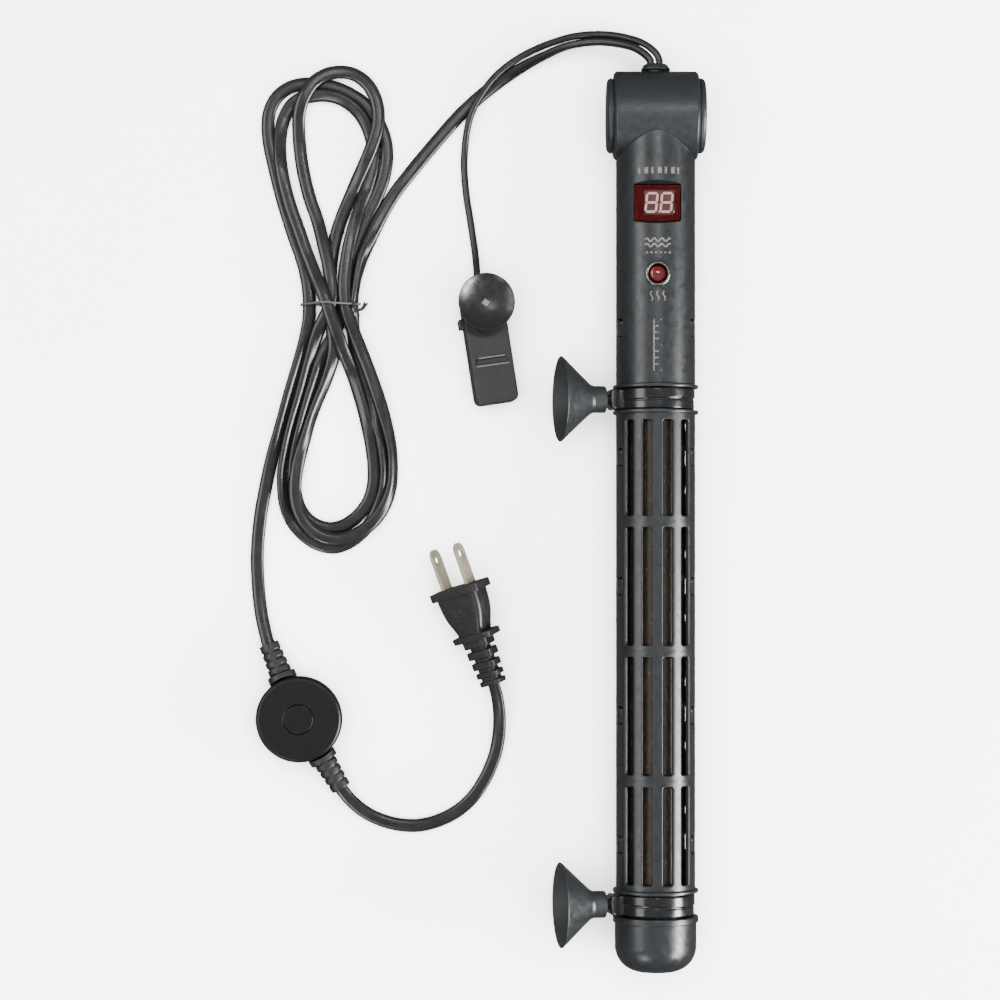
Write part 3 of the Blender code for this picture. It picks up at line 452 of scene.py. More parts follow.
def shell(angles, heights, holes, low_end, high_end, place=on_shell):
    """Part of the tube's wall, watertight. A hole is (columns, rows, rings), by first and last index."""
    skin = Skin()
    cut = {(i, j) for (i0, i1), (j0, j1), _ in holes for i in range(i0, i1) for j in range(j0, j1)}
    rings = [(columns, rows, make(columns[1] - columns[0], rows[1] - rows[0]))
             for columns, rows, make in holes]
    grids = {}
    for radius, nearest in ((TUBE_R, 0), (BORE_R, -1)):
        grid = [[place(angle, height, radius) for angle in angles] for height in heights]
        grids[radius] = grid
        for j in range(len(heights) - 1):
            for i in range(len(angles) - 1):
                if (i, j) not in cut:
                    skin.face((grid[j][i], grid[j][i + 1], grid[j + 1][i + 1], grid[j + 1][i]))
        for (i0, i1), (j0, j1), levels in rings:
            border = [grid[j0][i] for i in range(i0, i1)] + [grid[j][i1] for j in range(j0, j1)]
            border += [grid[j1][i] for i in range(i1, i0, -1)] + [grid[j][i0] for j in range(j1, j0, -1)]
            skin.strip(border, levels[nearest])
    for _, _, levels in rings:
        skin.wrap(levels, closed=False)
    for end in (low_end, high_end):
        rows = [[place(angle, height, radius) for angle in angles] for radius, height in end]
        for a, b in zip(rows, rows[1:]):
            skin.strip(a, b, closed=False)
        if len(end) > 2:
            for side in (0, -1):
                skin.face([row[side] for row in rows])
    for side in (0, -1):
        outer = [row[side] for row in grids[TUBE_R]]
        inner = [row[side] for row in grids[BORE_R]]
        skin.strip(outer, inner, closed=False)
    return skin


def smooth(route, step=1.6):
    """Points about a step apart on a smooth curve through a route, each with its turn as w."""
    knots = [Vector((*point, 0)[:4]) for point in route]
    knots = [2 * knots[0] - knots[1], *knots, 2 * knots[-1] - knots[-2]]
    points = []
    for a, b, c, d in zip(knots, knots[1:], knots[2:], knots[3:]):
        count = max(2, round((c.xyz - b.xyz).length / step))
        for k in range(count):
            t = k / count
            points.append(0.5 * (2 * b + (c - a) * t + (2 * a - 5 * b + 4 * c - d) * t * t
                                 + (3 * b - 3 * c + d - a) * t ** 3))
    points.append(knots[-2])
    return points


def cord_section():
    """The flat cord's outline: a full oval with a narrow groove along the middle of each face."""
    points = []
    fullness, groove_reach = 0.88, 0.35
    for k in range(CORD_SIDES):
        angle = math.tau * (k + 0.5) / CORD_SIDES
        x = math.copysign(abs(math.cos(angle)) ** fullness, math.cos(angle)) * CORD_W / 2
        y = math.copysign(abs(math.sin(angle)) ** fullness, math.sin(angle)) * CORD_T / 2
        groove = CORD_GROOVE * math.exp(-(x / groove_reach) ** 2)
        points.append((x, y - math.copysign(groove, y)))
    return points


def round_section(diameter, sides=16):
    return arc((0, 0), diameter / 2, 0, 360, sides)[:-1]


def swept(points, section, half_flat=0.0, half_thick=0.0):
    """A tube along (x, y, z, turn) points; a flat one is kept off the floor however it is turned."""
    up = Vector((0, 0, 1))
    rings = []
    for k, point in enumerate(points):
        ahead = points[min(k + 1, len(points) - 1)].xyz - points[max(k - 1, 0)].xyz
        ahead.normalize()
        side = ahead.cross(up).normalized()
        over = side.cross(ahead)
        turn = math.radians(point.w)
        wide = side * math.cos(turn) + over * math.sin(turn)
        thick = ahead.cross(wide)
        at = point.xyz
        at.z = max(at.z, half_thick + half_flat * abs(math.sin(turn)) + FLOOR_GAP)
        point.z = at.z
        rings.append([at + wide * x + thick * y for x, y in section])
    return Skin().loft(rings)


def piece(name, skin, surface, replaced=(), body="root", slot=None, place=None, sharp=40, bevel=None):
    """One named object from a skin, riding on a body and standing for the CAD nodes that it replaces."""
    bm = skin.bm
    bmesh.ops.transform(bm, matrix=Matrix.Scale(MM, 4) @ (place or Matrix()), verts=bm.verts)
    bmesh.ops.recalc_face_normals(bm, faces=bm.faces)
    mesh = mesh_of(bm, name)
    mesh.shade_smooth()
    mesh.set_sharp_from_angle(angle=math.radians(sharp))
    mesh.materials.append(surface)
    made = into_scene(name, mesh)
    if bevel:
        modifier = made.modifiers.new("Edges", "BEVEL")
        modifier.width = bevel * MM
        modifier.segments = 3
        modifier.limit_method = "ANGLE"
        modifier.angle_limit = math.radians(35)
    weighted = made.modifiers.new("FlatFaces", "WEIGHTED_NORMAL")
    weighted.keep_sharp = True
    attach(made, body)
    if replaced:
        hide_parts(*replaced)
    return made


# Materials. Every texture follows the object's own metres, so it rides with its piece.
class Nodes:
    """A material's node tree, with short ways to the nodes used here."""

    def __init__(self, name):
        self.material = bpy.data.materials.new(name)
        self.material.use_nodes = True
        self.tree = self.material.node_tree
        self.shader = self.tree.nodes["Principled BSDF"]
        self.output = self.tree.nodes["Material Output"]
        self.place = self.add("ShaderNodeTexCoord").outputs["Object"]

    def add(self, kind, **settings):
        node = self.tree.nodes.new(kind)
        for key, value in settings.items():
            setattr(node, key, value)
        return node

    def put(self, source, target):
        if hasattr(source, "links"):
            self.tree.links.new(source, target)
        else:
            target.default_value = source

    def noise(self, size, detail=3.0, stretch=(1, 1, 1), roughness=0.5):
        """Noise whose features are about `size` millimetres across."""
        scaled = self.add("ShaderNodeVectorMath", operation="MULTIPLY")
        self.put(self.place, scaled.inputs[0])
        self.put([s / (size * MM) for s in stretch], scaled.inputs[1])
        node = self.add("ShaderNodeTexNoise")
        self.put(scaled.outputs[0], node.inputs["Vector"])
        self.put(1.0, node.inputs["Scale"])
        self.put(detail, node.inputs["Detail"])
        self.put(roughness, node.inputs["Roughness"])
        return node.outputs["Fac"]

    def cells(self, size):
        node = self.add("ShaderNodeTexVoronoi")
        self.put(self.place, node.inputs["Vector"])
        self.put(1 / (size * MM), node.inputs["Scale"])
        return node

    def ramp(self, value, low, high, start=0.0, stop=1.0):
        """`value` from start to stop, as a number from low to high."""
        node = self.add("ShaderNodeMapRange")
        for source, target in zip((value, start, stop, low, high), node.inputs):
            self.put(source, target)
        return node.outputs["Result"]

    def blend(self, share, a, b):
        node = self.add("ShaderNodeMix", data_type="RGBA")
        self.put(share, node.inputs["Factor"])
        self.put((*a, 1) if isinstance(a, tuple) else a, node.inputs["A"])
        self.put((*b, 1) if isinstance(b, tuple) else b, node.inputs["B"])
        return node.outputs["Result"]

    def product(self, a, b):
        node = self.add("ShaderNodeMath", operation="MULTIPLY")
        self.put(a, node.inputs[0])
        self.put(b, node.inputs[1])
        return node.outputs[0]

    def bump(self, height, depth, under=None):
        node = self.add("ShaderNodeBump")
        self.put(depth * MM, node.inputs["Distance"])
        self.put(height, node.inputs["Height"])
        if under is not None:
            self.put(under, node.inputs["Normal"])
        return node.outputs["Normal"]

    def finish(self, **inputs):
        for key, value in inputs.items():
            self.put(value, self.shader.inputs[key.replace("_", " ")])
        return self.material


def shaded(colour, share):
    return tuple(c * share for c in colour)


def moulded(name, colour, roughness, grain=0.35, grain_depth=0.005, swirl=9.0, spread=0.1, coat=0.0,
            specular=0.5, dust_share=0.04, painted_edge_highlight=0.35):
    """Moulded plastic or rubber: a fine grain, faint flow marks, and paler edges that are a painted edge
    highlight.
    """
    n = Nodes(name)
    flow = n.noise(swirl, 3)
    fine = n.noise(grain, 2)
    dust = n.ramp(n.noise(1.1, 6, roughness=0.75), 0, 1, 0.60, 0.78)
    # Sharp edges are painted paler: a painted edge highlight.
    edge = n.ramp(n.add("ShaderNodeNewGeometry").outputs["Pointiness"], 0, 1, 0.52, 0.60)
    pale = tuple(c * 1.8 + 0.006 for c in colour)
    base = n.blend(flow, shaded(colour, 0.8), shaded(colour, 1.22))
    base = n.blend(n.product(dust, dust_share), base, pale)
    base = n.blend(n.product(edge, painted_edge_highlight), base, pale)
    rough = n.ramp(n.noise(2.6, 4), roughness - spread, roughness + spread, 0.3, 0.7)
    normal = n.bump(fine, grain_depth)
    normal = n.bump(flow, 0.025, normal)
    return n.finish(Base_Color=base, Roughness=rough, Normal=normal, Coat_Weight=coat, Coat_Roughness=0.2,
                    Specular_IOR_Level=specular)


def cord_jacket():
    """PVC with a fine grain, a few pale specks, and patches where it has been handled."""
    n = Nodes("CordJacket")
    handled = n.noise(5.0, 4)
    fine = n.noise(0.45, 3)
    base = n.blend(handled, (0.0022, 0.0023, 0.0026), (0.0042, 0.0044, 0.0049))
    specks = n.ramp(n.noise(0.9, 5, roughness=0.8), 0, 0.35, 0.64, 0.8)
    base = n.blend(specks, base, (0.02, 0.021, 0.022))
    return n.finish(Base_Color=base, Roughness=n.ramp(handled, 0.24, 0.36, 0.3, 0.7),
                    Normal=n.bump(handled, 0.02, n.bump(fine, 0.01)), Coat_Weight=0.15, Coat_Roughness=0.25)


def quartz_sleeve():
    """Smoked quartz over a packed filling: dark brown, with pale specks under a clear gloss."""
    n = Nodes("QuartzSleeve")
    cell = n.cells(0.75)
    speck = n.ramp(cell.outputs["Distance"], 1, 0, 0.12, 0.32)
    few = n.ramp(n.noise(1.7, 2), 0, 1, 0.47, 0.6)
    base = n.blend(n.noise(3.0, 5), (0.002, 0.0017, 0.0013), (0.0085, 0.0062, 0.0042))
    base = n.blend(n.product(speck, n.product(few, 0.8)), base, (0.075, 0.060, 0.040))
    return n.finish(Base_Color=base, Roughness=0.3, Coat_Weight=1.0, Coat_Roughness=0.06,
                    Normal=n.bump(n.noise(0.7, 3), 0.04))


def clear_lens(name, tint, body_share):
    """A tinted window: what is behind it shows through, and its face keeps a clear gloss."""
    n = Nodes(name)
    through = n.add("ShaderNodeBsdfTransparent")
    n.put((*tint, 1), through.inputs["Color"])
    n.finish(Base_Color=n.blend(n.noise(4, 2), shaded(tint, 0.002), shaded(tint, 0.004)), Roughness=0.08,
             Normal=n.bump(n.noise(3.0, 2), 0.015))
    gloss = n.add("ShaderNodeFresnel")
    n.put(1.5, gloss.inputs["IOR"])
    share = n.ramp(gloss.outputs[0], body_share, 0.8, 0.05, 1.0)
    mix = n.add("ShaderNodeMixShader")
    n.put(share, mix.inputs[0])
    n.put(through.outputs[0], mix.inputs[1])
    n.put(n.shader.outputs[0], mix.inputs[2])
    n.put(mix.outputs[0], n.output.inputs["Surface"])
    return n.material


def metal(name, colour, roughness, tarnish, stretch=(1, 1, 1), metallic=1.0):
    """Brushed metal whose worn patches go over to the colour of its tarnish."""
    n = Nodes(name)
    brushed = n.noise(0.5, 4, stretch)
    worn = n.ramp(n.noise(3.2, 5), 0, 0.6, 0.5, 0.75)
    return n.finish(Base_Color=n.blend(worn, colour, tarnish), Metallic=metallic,
                    Roughness=n.ramp(brushed, roughness * 0.7, roughness * 1.5, 0.3, 0.7),
                    Normal=n.bump(brushed, 0.01))


def two_tone(name, low, high, roughness, size=2.0, detail=4, grain=0.3, depth=0.01, **more):
    """Two tones that drift over about `size` millimetres, under a finer grain."""
    n = Nodes(name)
    return n.finish(Base_Color=n.blend(n.noise(size, detail), low, high), Roughness=roughness,
                    Normal=n.bump(n.noise(grain, 2), depth), **more)


def digit_lit():
    n = Nodes("DigitLit")
    base = n.blend(n.noise(0.8, 3), (0.12, 0.13, 0.125), (0.19, 0.195, 0.185))
    return n.finish(Base_Color=base, Roughness=0.4, Emission_Color=(0.8, 0.9, 0.88, 1),
                    Emission_Strength=0.35)


def faded_print():
    n = Nodes("FadedPrint")
    worn = n.ramp(n.noise(0.7, 5, roughness=0.8), 0, 1, 0.38, 0.62)
    base = n.blend(worn, (0.018, 0.0175, 0.016), (0.075, 0.066, 0.054))
    return n.finish(Base_Color=base, Roughness=0.5, Normal=n.bump(n.noise(0.3, 2), 0.005))


def speckled(name, low, high, roughness, size=1.5, metallic=0.0):
    """A simple two-tone finish for the pieces sealed inside."""
    n = Nodes(name)
    return n.finish(Base_Color=n.blend(n.noise(size, 4), low, high), Metallic=metallic,
                    Roughness=n.ramp(n.noise(size * 2, 3), roughness - 0.08, roughness + 0.08, 0.3, 0.7),
                    Normal=n.bump(n.noise(size / 4, 2), 0.01))


SHELL = moulded("SatinShell", (0.0041, 0.0048, 0.0054), 0.34, spread=0.07)
HEAD_SHELL = moulded("HeadShell", (0.0044, 0.0052, 0.0058), 0.40, grain=0.5, spread=0.08)
CLIP = moulded("ClipPlastic", (0.0022, 0.0024, 0.0026), 0.22, grain_depth=0.006, coat=0.3, spread=0.06)
CUP_RUBBER = moulded("CupRubber", (0.0067, 0.0079, 0.0083), 0.42, grain=0.8, swirl=6.0, spread=0.1)
SENSOR_CUP = moulded("SensorCup", (0.0034, 0.0035, 0.0034), 0.30, grain=0.8, swirl=6.0, spread=0.08)
CONTROLLER_GLOSS = moulded("ControllerGloss", (0.0012, 0.0012, 0.0012), 0.36, spread=0.05, swirl=20.0,
                           specular=0.35, dust_share=0.03, painted_edge_highlight=0.0)
RELIEF_RUBBER = moulded("ReliefRubber", (0.0030, 0.0031, 0.0031), 0.45, grain=0.6, spread=0.08)
PLUG_RUBBER = moulded("PlugRubber", (0.0026, 0.0026, 0.0025), 0.40, grain=0.5, spread=0.1)
SENSOR_SHELL = moulded("SensorShell", (0.0042, 0.0044, 0.0045), 0.38, grain=0.5)
# The channel lips' pale colour is a painted highlight.
SENSOR_LIP_HIGHLIGHT = moulded("SensorLipHighlight", (0.034, 0.035, 0.034), 0.34, grain=0.5)
# The cup nub's pale colour is a painted highlight.
CUP_NUB_HIGHLIGHT = moulded("CupNubHighlight", (0.045, 0.045, 0.043), 0.25, grain=0.5)
CORD = cord_jacket()
QUARTZ = quartz_sleeve()
LENS = clear_lens("DisplayWindow", (0.95, 0.80, 0.80), 0.012)
RED_DOME = two_tone("RedDome", (0.016, 0.0008, 0.0008), (0.045, 0.0022, 0.0018), 0.12, size=2.5, detail=3,
                    grain=1.2, depth=0.02, Transmission_Weight=0.12, Coat_Weight=1.0, Coat_Roughness=0.05)
# The red filter's faint red emission is a painted glow; the filter is no lamp.
RED_FILTER = two_tone("RedFilter", (0.004, 0.0001, 0.0002), (0.018, 0.0003, 0.0006), 0.35, size=2.2,
                      grain=0.9, Specular_IOR_Level=0.12, Emission_Color=(0.5, 0.01, 0.02, 1),
                      Emission_Strength=0.05)
DIGIT = digit_lit()
MODULE = two_tone("ModuleFace", (0.012, 0.013, 0.012), (0.030, 0.029, 0.025), 0.45)
PRINT = faded_print()
FLOOR_PAPER = two_tone("FloorPaper", (0.90, 0.90, 0.90), (0.93, 0.93, 0.93), 0.9, size=60, detail=3,
                       grain=2, Specular_IOR_Level=0.1)
CHROME = metal("Chrome", (0.19, 0.19, 0.195), 0.24, (0.15, 0.15, 0.155))
BLADE = metal("BladeMetal", (0.22, 0.20, 0.145), 0.26, (0.10, 0.085, 0.05), (4, 1, 4), metallic=0.55)
TIE = moulded("TieCoating", (0.025, 0.029, 0.027), 0.38, grain=0.3, coat=0.2)
TIE_ENDS = moulded("TieEnds", (0.004, 0.004, 0.0042), 0.42, grain=0.3)
INSIDE = {
    "resistance_wire": speckled("ResistanceWire", (0.3, 0.27, 0.24), (0.5, 0.45, 0.4), 0.4, 0.8, 1.0),
    "ceramic": speckled("Ceramic", (0.62, 0.58, 0.5), (0.76, 0.72, 0.64), 0.7),
    "circuit_board": speckled("CircuitBoard", (0.012, 0.1, 0.045), (0.03, 0.18, 0.08), 0.45, 2.0),
    "component_plastic": speckled("ComponentPlastic", (0.012, 0.012, 0.013), (0.03, 0.03, 0.032), 0.5),
    "component_metal": speckled("ComponentMetal", (0.5, 0.5, 0.52), (0.68, 0.68, 0.7), 0.35, 1.0, 1.0),
    "soft_rubber": speckled("SealRubber", (0.02, 0.02, 0.022), (0.045, 0.045, 0.048), 0.6),
    "satin_black_plastic": SHELL,
    "red_lens": RED_DOME,
}


def plastic(name, skin, *replaced, look=SHELL, body="root", place=HEATER, sharp=40):
    """A piece of black plastic, standing for the CAD nodes named."""
    return piece(name, skin, look, replaced, body, "satin_black_plastic", place, sharp)


# The heater, from its end cap up to its head.
def end_cap():
    round_r, floor_z, bore, seat, seat_z = 10.8, 7.0, 10.6, QUARTZ_R + 0.5, 24.2
    corner = arc((END_CAP_R - round_r, round_r), round_r, -90, 0, 16)
    outline = soften([corner[-1], (END_CAP_R, END_CAP_TOP), (FLANGE_R, END_CAP_TOP),
                      (FLANGE_R, LOWER_GROOVE[0]), (NECK_R, LOWER_GROOVE[0]), (NECK_R, LOWER_GROOVE[1]),
                      (COLLAR_R, LOWER_GROOVE[1]), (COLLAR_R, SLOTS_END[0]), (seat, SLOTS_END[0]),
                      (seat, seat_z), (bore, seat_z), (bore, floor_z), (0, floor_z)], 0.4)
    plastic("end_cap_shell", turned([(0, 0), *corner, *outline[1:]], 112, soft=0), "end_cap")


def quartz_tube():
    low, high = QUARTZ_SPAN
    wall, foot, thick_end, bevel = 1.1, 1.6, 2.2, 0.4
    profile = [(0, low), *arc((QUARTZ_R - foot, low + foot), foot, -90, 0, 6), (QUARTZ_R, high - bevel),
               (QUARTZ_R - bevel, high), (QUARTZ_R - wall, high), (QUARTZ_R - wall, low + thick_end),
               (0, low + thick_end)]
    piece("quartz_tube", turned(profile, 96, soft=0), QUARTZ, ["heating_tube"], slot="smoked_quartz",
          place=HEATER)


def middle_neck():
    low, high = UPPER_GROOVE
    seat, bore = QUARTZ_R + 0.5, 9.5
    profile = [(seat, low - 3.8), (COLLAR_R, low - 3.8), (COLLAR_R, low), (NECK_R, low), (NECK_R, high),
               (COLLAR_R, high), (COLLAR_R, high + 4.5), (bore, high + 4.5), (bore, high - 2.9),
               (seat, high - 2.9)]
    plastic("middle_neck", turned(profile, 96), "middle_collar")


def flange_end(edge, lip):
    """From the tube's outer face over its flange, whose thin lip stands at `edge`, to the inner face."""
    inward = math.copysign(1, lip - edge)
    corners = [(TUBE_R, lip), (TUBE_R, lip - inward * 0.05), (FLANGE_R, lip - inward * 0.35),
               (FLANGE_R, edge), (BORE_R, edge), (BORE_R, lip)]
    return soften(corners, 0.3, steps=2)


def half_shell(degrees):
    """The angles between a half shell's columns; its two edges stand back from the seam."""
    stops = [math.radians(a) for a in degrees]
    stops[0] += SEAM
    stops[-1] -= SEAM
    return stops


def latch_height(bay):
    return LATCH_FIRST + BAY_PITCH * bay


def guard_half(name, degrees, steps, shifts, counts, slots, windows):
    """Half of the guard, with slots as (column, angle) the full height of each bay, and windows for a bay.

    The grid's columns go from one of `degrees` to the next in so many `steps`. Its rows in each bay are
    bounded by `shifts`, heights from the bay's latches, and have so many steps as `counts` says.
    """
    low, high = LOWER_GROOVE[1], UPPER_GROOVE[0]
    bars = [FIRST_BAR + BAY_PITCH * k for k in range(BAYS - 1)]
    levels = [low + FLANGE_T]
    for bay, bound in enumerate((*bars, high - FLANGE_T)):
        levels += [*(latch_height(bay) + shift for shift in shifts), bound]
    angles, columns = spaced(half_shell(degrees), steps)
    heights, rows = spaced(levels, counts * BAYS)
    edges = [SLOTS_END[0], *(b for bar in bars for b in (bar - BAY_BRIDGE / 2, bar + BAY_BRIDGE / 2)),
             SLOTS_END[1]]
    holes = []
    for bay in range(BAYS):
        bottom, top = edges[2 * bay], edges[2 * bay + 1]
        tall_slot = ((bottom + top) / 2, SLOT_WIDTH, top - bottom, 1.0)
        cuts = [(column, angle, 0, len(counts), *tall_slot) for column, angle in slots]
        for column, angle, first, last, *shape in (*cuts, *windows(bay)):
            first, last = (rows[len(counts) * bay + row] for row in (first, last))
            hole = opening(math.radians(angle), *shape)
            holes.append(((columns[column], columns[column + 1]), (first, last), hole))
    skin = shell(angles, heights, holes, flange_end(low, low + FLANGE_T), flange_end(high, high - FLANGE_T))
    plastic(f"{name}_shell", skin, name, sharp=50)


def guard():
    """Both halves. A window is (column, angle, first and last row, height, width, length, corner)."""

    def latches(bay):
        return [(column, side * LATCH_ANGLE, 1, 2, latch_height(bay), *LATCH_SIZE, 0.6)
                for column, side in ((0, -1), (5, 1))]

    def rungs(bay):
        """Short openings on both sides of the back, except where the lowest would meet the end cap."""
        return [(column, 180 + 52 * side, row, row + 1, latch_height(bay) + shift, SLOT_WIDTH, tall, 0.8)
                for column, side in ((1, -1), (6, 1))
                for row, shift, tall in ((1, -13.3, 3.5), (3, 0, 7.0), (5, 13.3, 3.5))
                if latch_height(bay) + shift >= SLOTS_END[0] + 4]

    guard_half("guard_front", (-90, -LATCH_EDGE, -30, 0, 30, LATCH_EDGE, 90), [8] * 6, (-5.5, 5.5),
               [6, 5, 6], ((1, -45), (2, -15), (3, 15), (4, 45)), latches)
    guard_half("guard_rear", (90, 115.5, 140.5, 153, 180, 207, 219.5, 244.5, 270), [5, 6, 3, 7, 7, 3, 6, 5],
               (-17.0, -9.6, -5.4, 5.4, 9.6, 17.0), [3, 4, 2, 5, 2, 4, 3], ((3, 165), (4, 195)), rungs)


def under_drum(angle, height, radius):
    """on_shell, with what is above SADDLE_FROM squeezed to end against the head's drum."""
    if height > SADDLE_FROM:
        reach = math.sqrt((HEAD_R + GAP) ** 2 - (radius * math.cos(angle)) ** 2)
        share = (height - SADDLE_FROM) / (SADDLE_TOP - SADDLE_FROM)
        height = SADDLE_FROM + share * (HEAD_Z - reach - SADDLE_FROM)
    return on_shell(angle, height, radius)


def window_rings(across, along):
    """The display's recess: sloped sides from the tube's surface to the window, then a sleeve back out."""
    face, deep = DISPLAY_FACE + 0.1, 9.0
    wide, tall = (size / 2 + GAP for size in DISPLAY_SIZE)
    outline = rounded(2, 2, 0.1, across, along)
    side_slope, end_slope = 0.52, 0.383

    def on_surface(grow):
        ring = []
        for s, t in outline:
            out = TUBE_R
            for _ in range(12):
                x = s * (wide + side_slope * (out - face) + grow)
                out = math.sqrt(TUBE_R ** 2 - x * x)
            ring.append(Vector((x, -out, DISPLAY_Z + t * (tall + end_slope * (out - face) + grow))))
        return ring

    def sleeve(width, height, out):
        return [Vector((s * width, -out, DISPLAY_Z + t * height)) for s, t in outline]

    wider = sleeve(wide + 1, tall + 1, deep)
    on_bore = [Vector((p.x, -math.sqrt(BORE_R ** 2 - p.x ** 2), p.z)) for p in wider]
    lip = 0.08
    return [on_surface(1.2), on_surface(0.18), on_surface(-0.05), sleeve(wide, tall, face),
            sleeve(wide - lip, tall - lip, face - 0.12), sleeve(wide - lip, tall - lip, deep),
            wider, on_bore]


def indicator_rings(across, along):
    """The round hole for the indicator, with a sleeve behind it."""
    hole, sleeve, deep = 4.7, 5.6, 10.5

    def ring(radius, surface=None, out=None):
        made = []
        for x, y in rounded(2 * radius, 2 * radius, radius - 0.01, across, along):
            y_out = out or math.sqrt(surface ** 2 - x * x)
            made.append(Vector((x, -y_out, INDICATOR_Z + y)))
        return made

    return [ring(hole + 1.0, TUBE_R), ring(hole + 0.3, TUBE_R), ring(hole, TUBE_R - 0.3),
            ring(hole, out=deep), ring(sleeve, out=deep), ring(sleeve, BORE_R)]


def housing():
    low = UPPER_GROOVE[1]
    bottom = flange_end(low, low + FLANGE_T)
    top = [(TUBE_R, SADDLE_TOP), (BORE_R, SADDLE_TOP)]
    angles, columns = spaced(half_shell((-90, -LATCH_EDGE, -44, -24, 24, 44, LATCH_EDGE, 90)),
                             [8, 4, 5, 14, 5, 4, 8])
    heights, rows = spaced([low + FLANGE_T, 261.8, 272.8, 282, 295.5, 306.5, SADDLE_FROM, SADDLE_TOP],
                           [5, 5, 3, 8, 3, 12, 10])
    holes = [((columns[2], columns[5]), (rows[5], rows[6]), window_rings),
             ((columns[3], columns[4]), (rows[3], rows[4]), indicator_rings)]
    for column, side in ((0, -1), (6, 1)):
        hole = opening(math.radians(side * LATCH_ANGLE), latch_height(BAYS), *LATCH_SIZE, 0.6)
        holes.append(((columns[column], columns[column + 1]), (rows[1], rows[2]), hole))
    plastic("housing_front_shell", shell(angles, heights, holes, bottom, top, under_drum), "housing_front",
            sharp=50)
    angles, _ = spaced(half_shell((90, 270)), [48])
    heights, _ = spaced([low + FLANGE_T, SADDLE_FROM, SADDLE_TOP], [6, 8])
    plastic("housing_rear_shell", shell(angles, heights, [], bottom, top, under_drum), "housing_rear",
            sharp=50)


def latch_tongues():
    """The rear halves' sprung tongues, seen in the front halves' latch windows."""
    skin = Skin()
    half_width, inside = 2.1, -14.2
    for bay in range(BAYS + 1):
        height = latch_height(bay)
        for side in (-1, 1):
            tongue = block((-half_width, -15.7, height - 3.3), (half_width, inside, height + 1.6), 0.35)
            hook = block((-half_width, -16.2, height + 1.2), (half_width, inside, height + 2.9), 0.45)
            turn = rotation(side * LATCH_ANGLE, "Z")
            skin.join(tongue.moved(turn)).join(hook.moved(turn))
    plastic("latch_tongues", skin)


def head():
    bore = HEAD_R - 2.0
    edge_r, edge_z = HEAD_R - HEAD_ROUND, HEAD_HALF - HEAD_ROUND
    profile = [(bore, -HEAD_HALF), *arc((edge_r, -edge_z), HEAD_ROUND, -90, 0, 6),
               *arc((edge_r, edge_z), HEAD_ROUND, 0, 90, 6)[1:], (bore, HEAD_HALF)]
    plastic("head_drum", turned(profile, 144, soft=0), "head_housing", look=HEAD_SHELL, place=DRUM)
    ribs, rib_depth = 96, 0.14

    def ribbed(radius, height, angle):
        on_rim = radius > DISC_R - 0.3 and 18.6 < height < DISC_OUT - 0.6
        return radius - on_rim * rib_depth * (0.5 + 0.5 * math.cos(ribs * angle)), height

    disc = [(0, 13.5), (bore - GAP, 13.5), (bore - GAP, 17.8), (14.8, 17.8), (14.8, 18.2), (DISC_R, 18.2),
            (DISC_R, 18.7), (DISC_R - 0.1, DISC_OUT - 1.1), (DISC_R - 0.6, DISC_OUT - 0.4),
            (DISC_R - 1.4, DISC_OUT), (12.4, DISC_OUT), (12.2, DISC_OUT - 0.3), (11.8, DISC_OUT - 0.3),
            (11.6, DISC_OUT - 0.05), (0, DISC_OUT - 0.05)]
    for name, flip in (("right", 0), ("left", 180)):
        skin = turned(disc, ribs * 4, soft=0.12, shape=ribbed)
        plastic(f"head_disc_{name}", skin, f"head_end_disc_{name}", look=HEAD_SHELL,
                place=DRUM @ rotation(flip, "X"), sharp=50)
    top = HEAD_Z + HEAD_R
    gland = [(0, top - 9.5), (3.9, top - 9.5), (3.9, top + 0.4), (6.1, top + 0.4), (6.1, top + 1.2),
             (5.6, top + 1.7), (5.0, HEATER_LENGTH), (0, HEATER_LENGTH)]
    plastic("gland_flange", turned(gland, 64), "cable_gland", look=HEAD_SHELL)


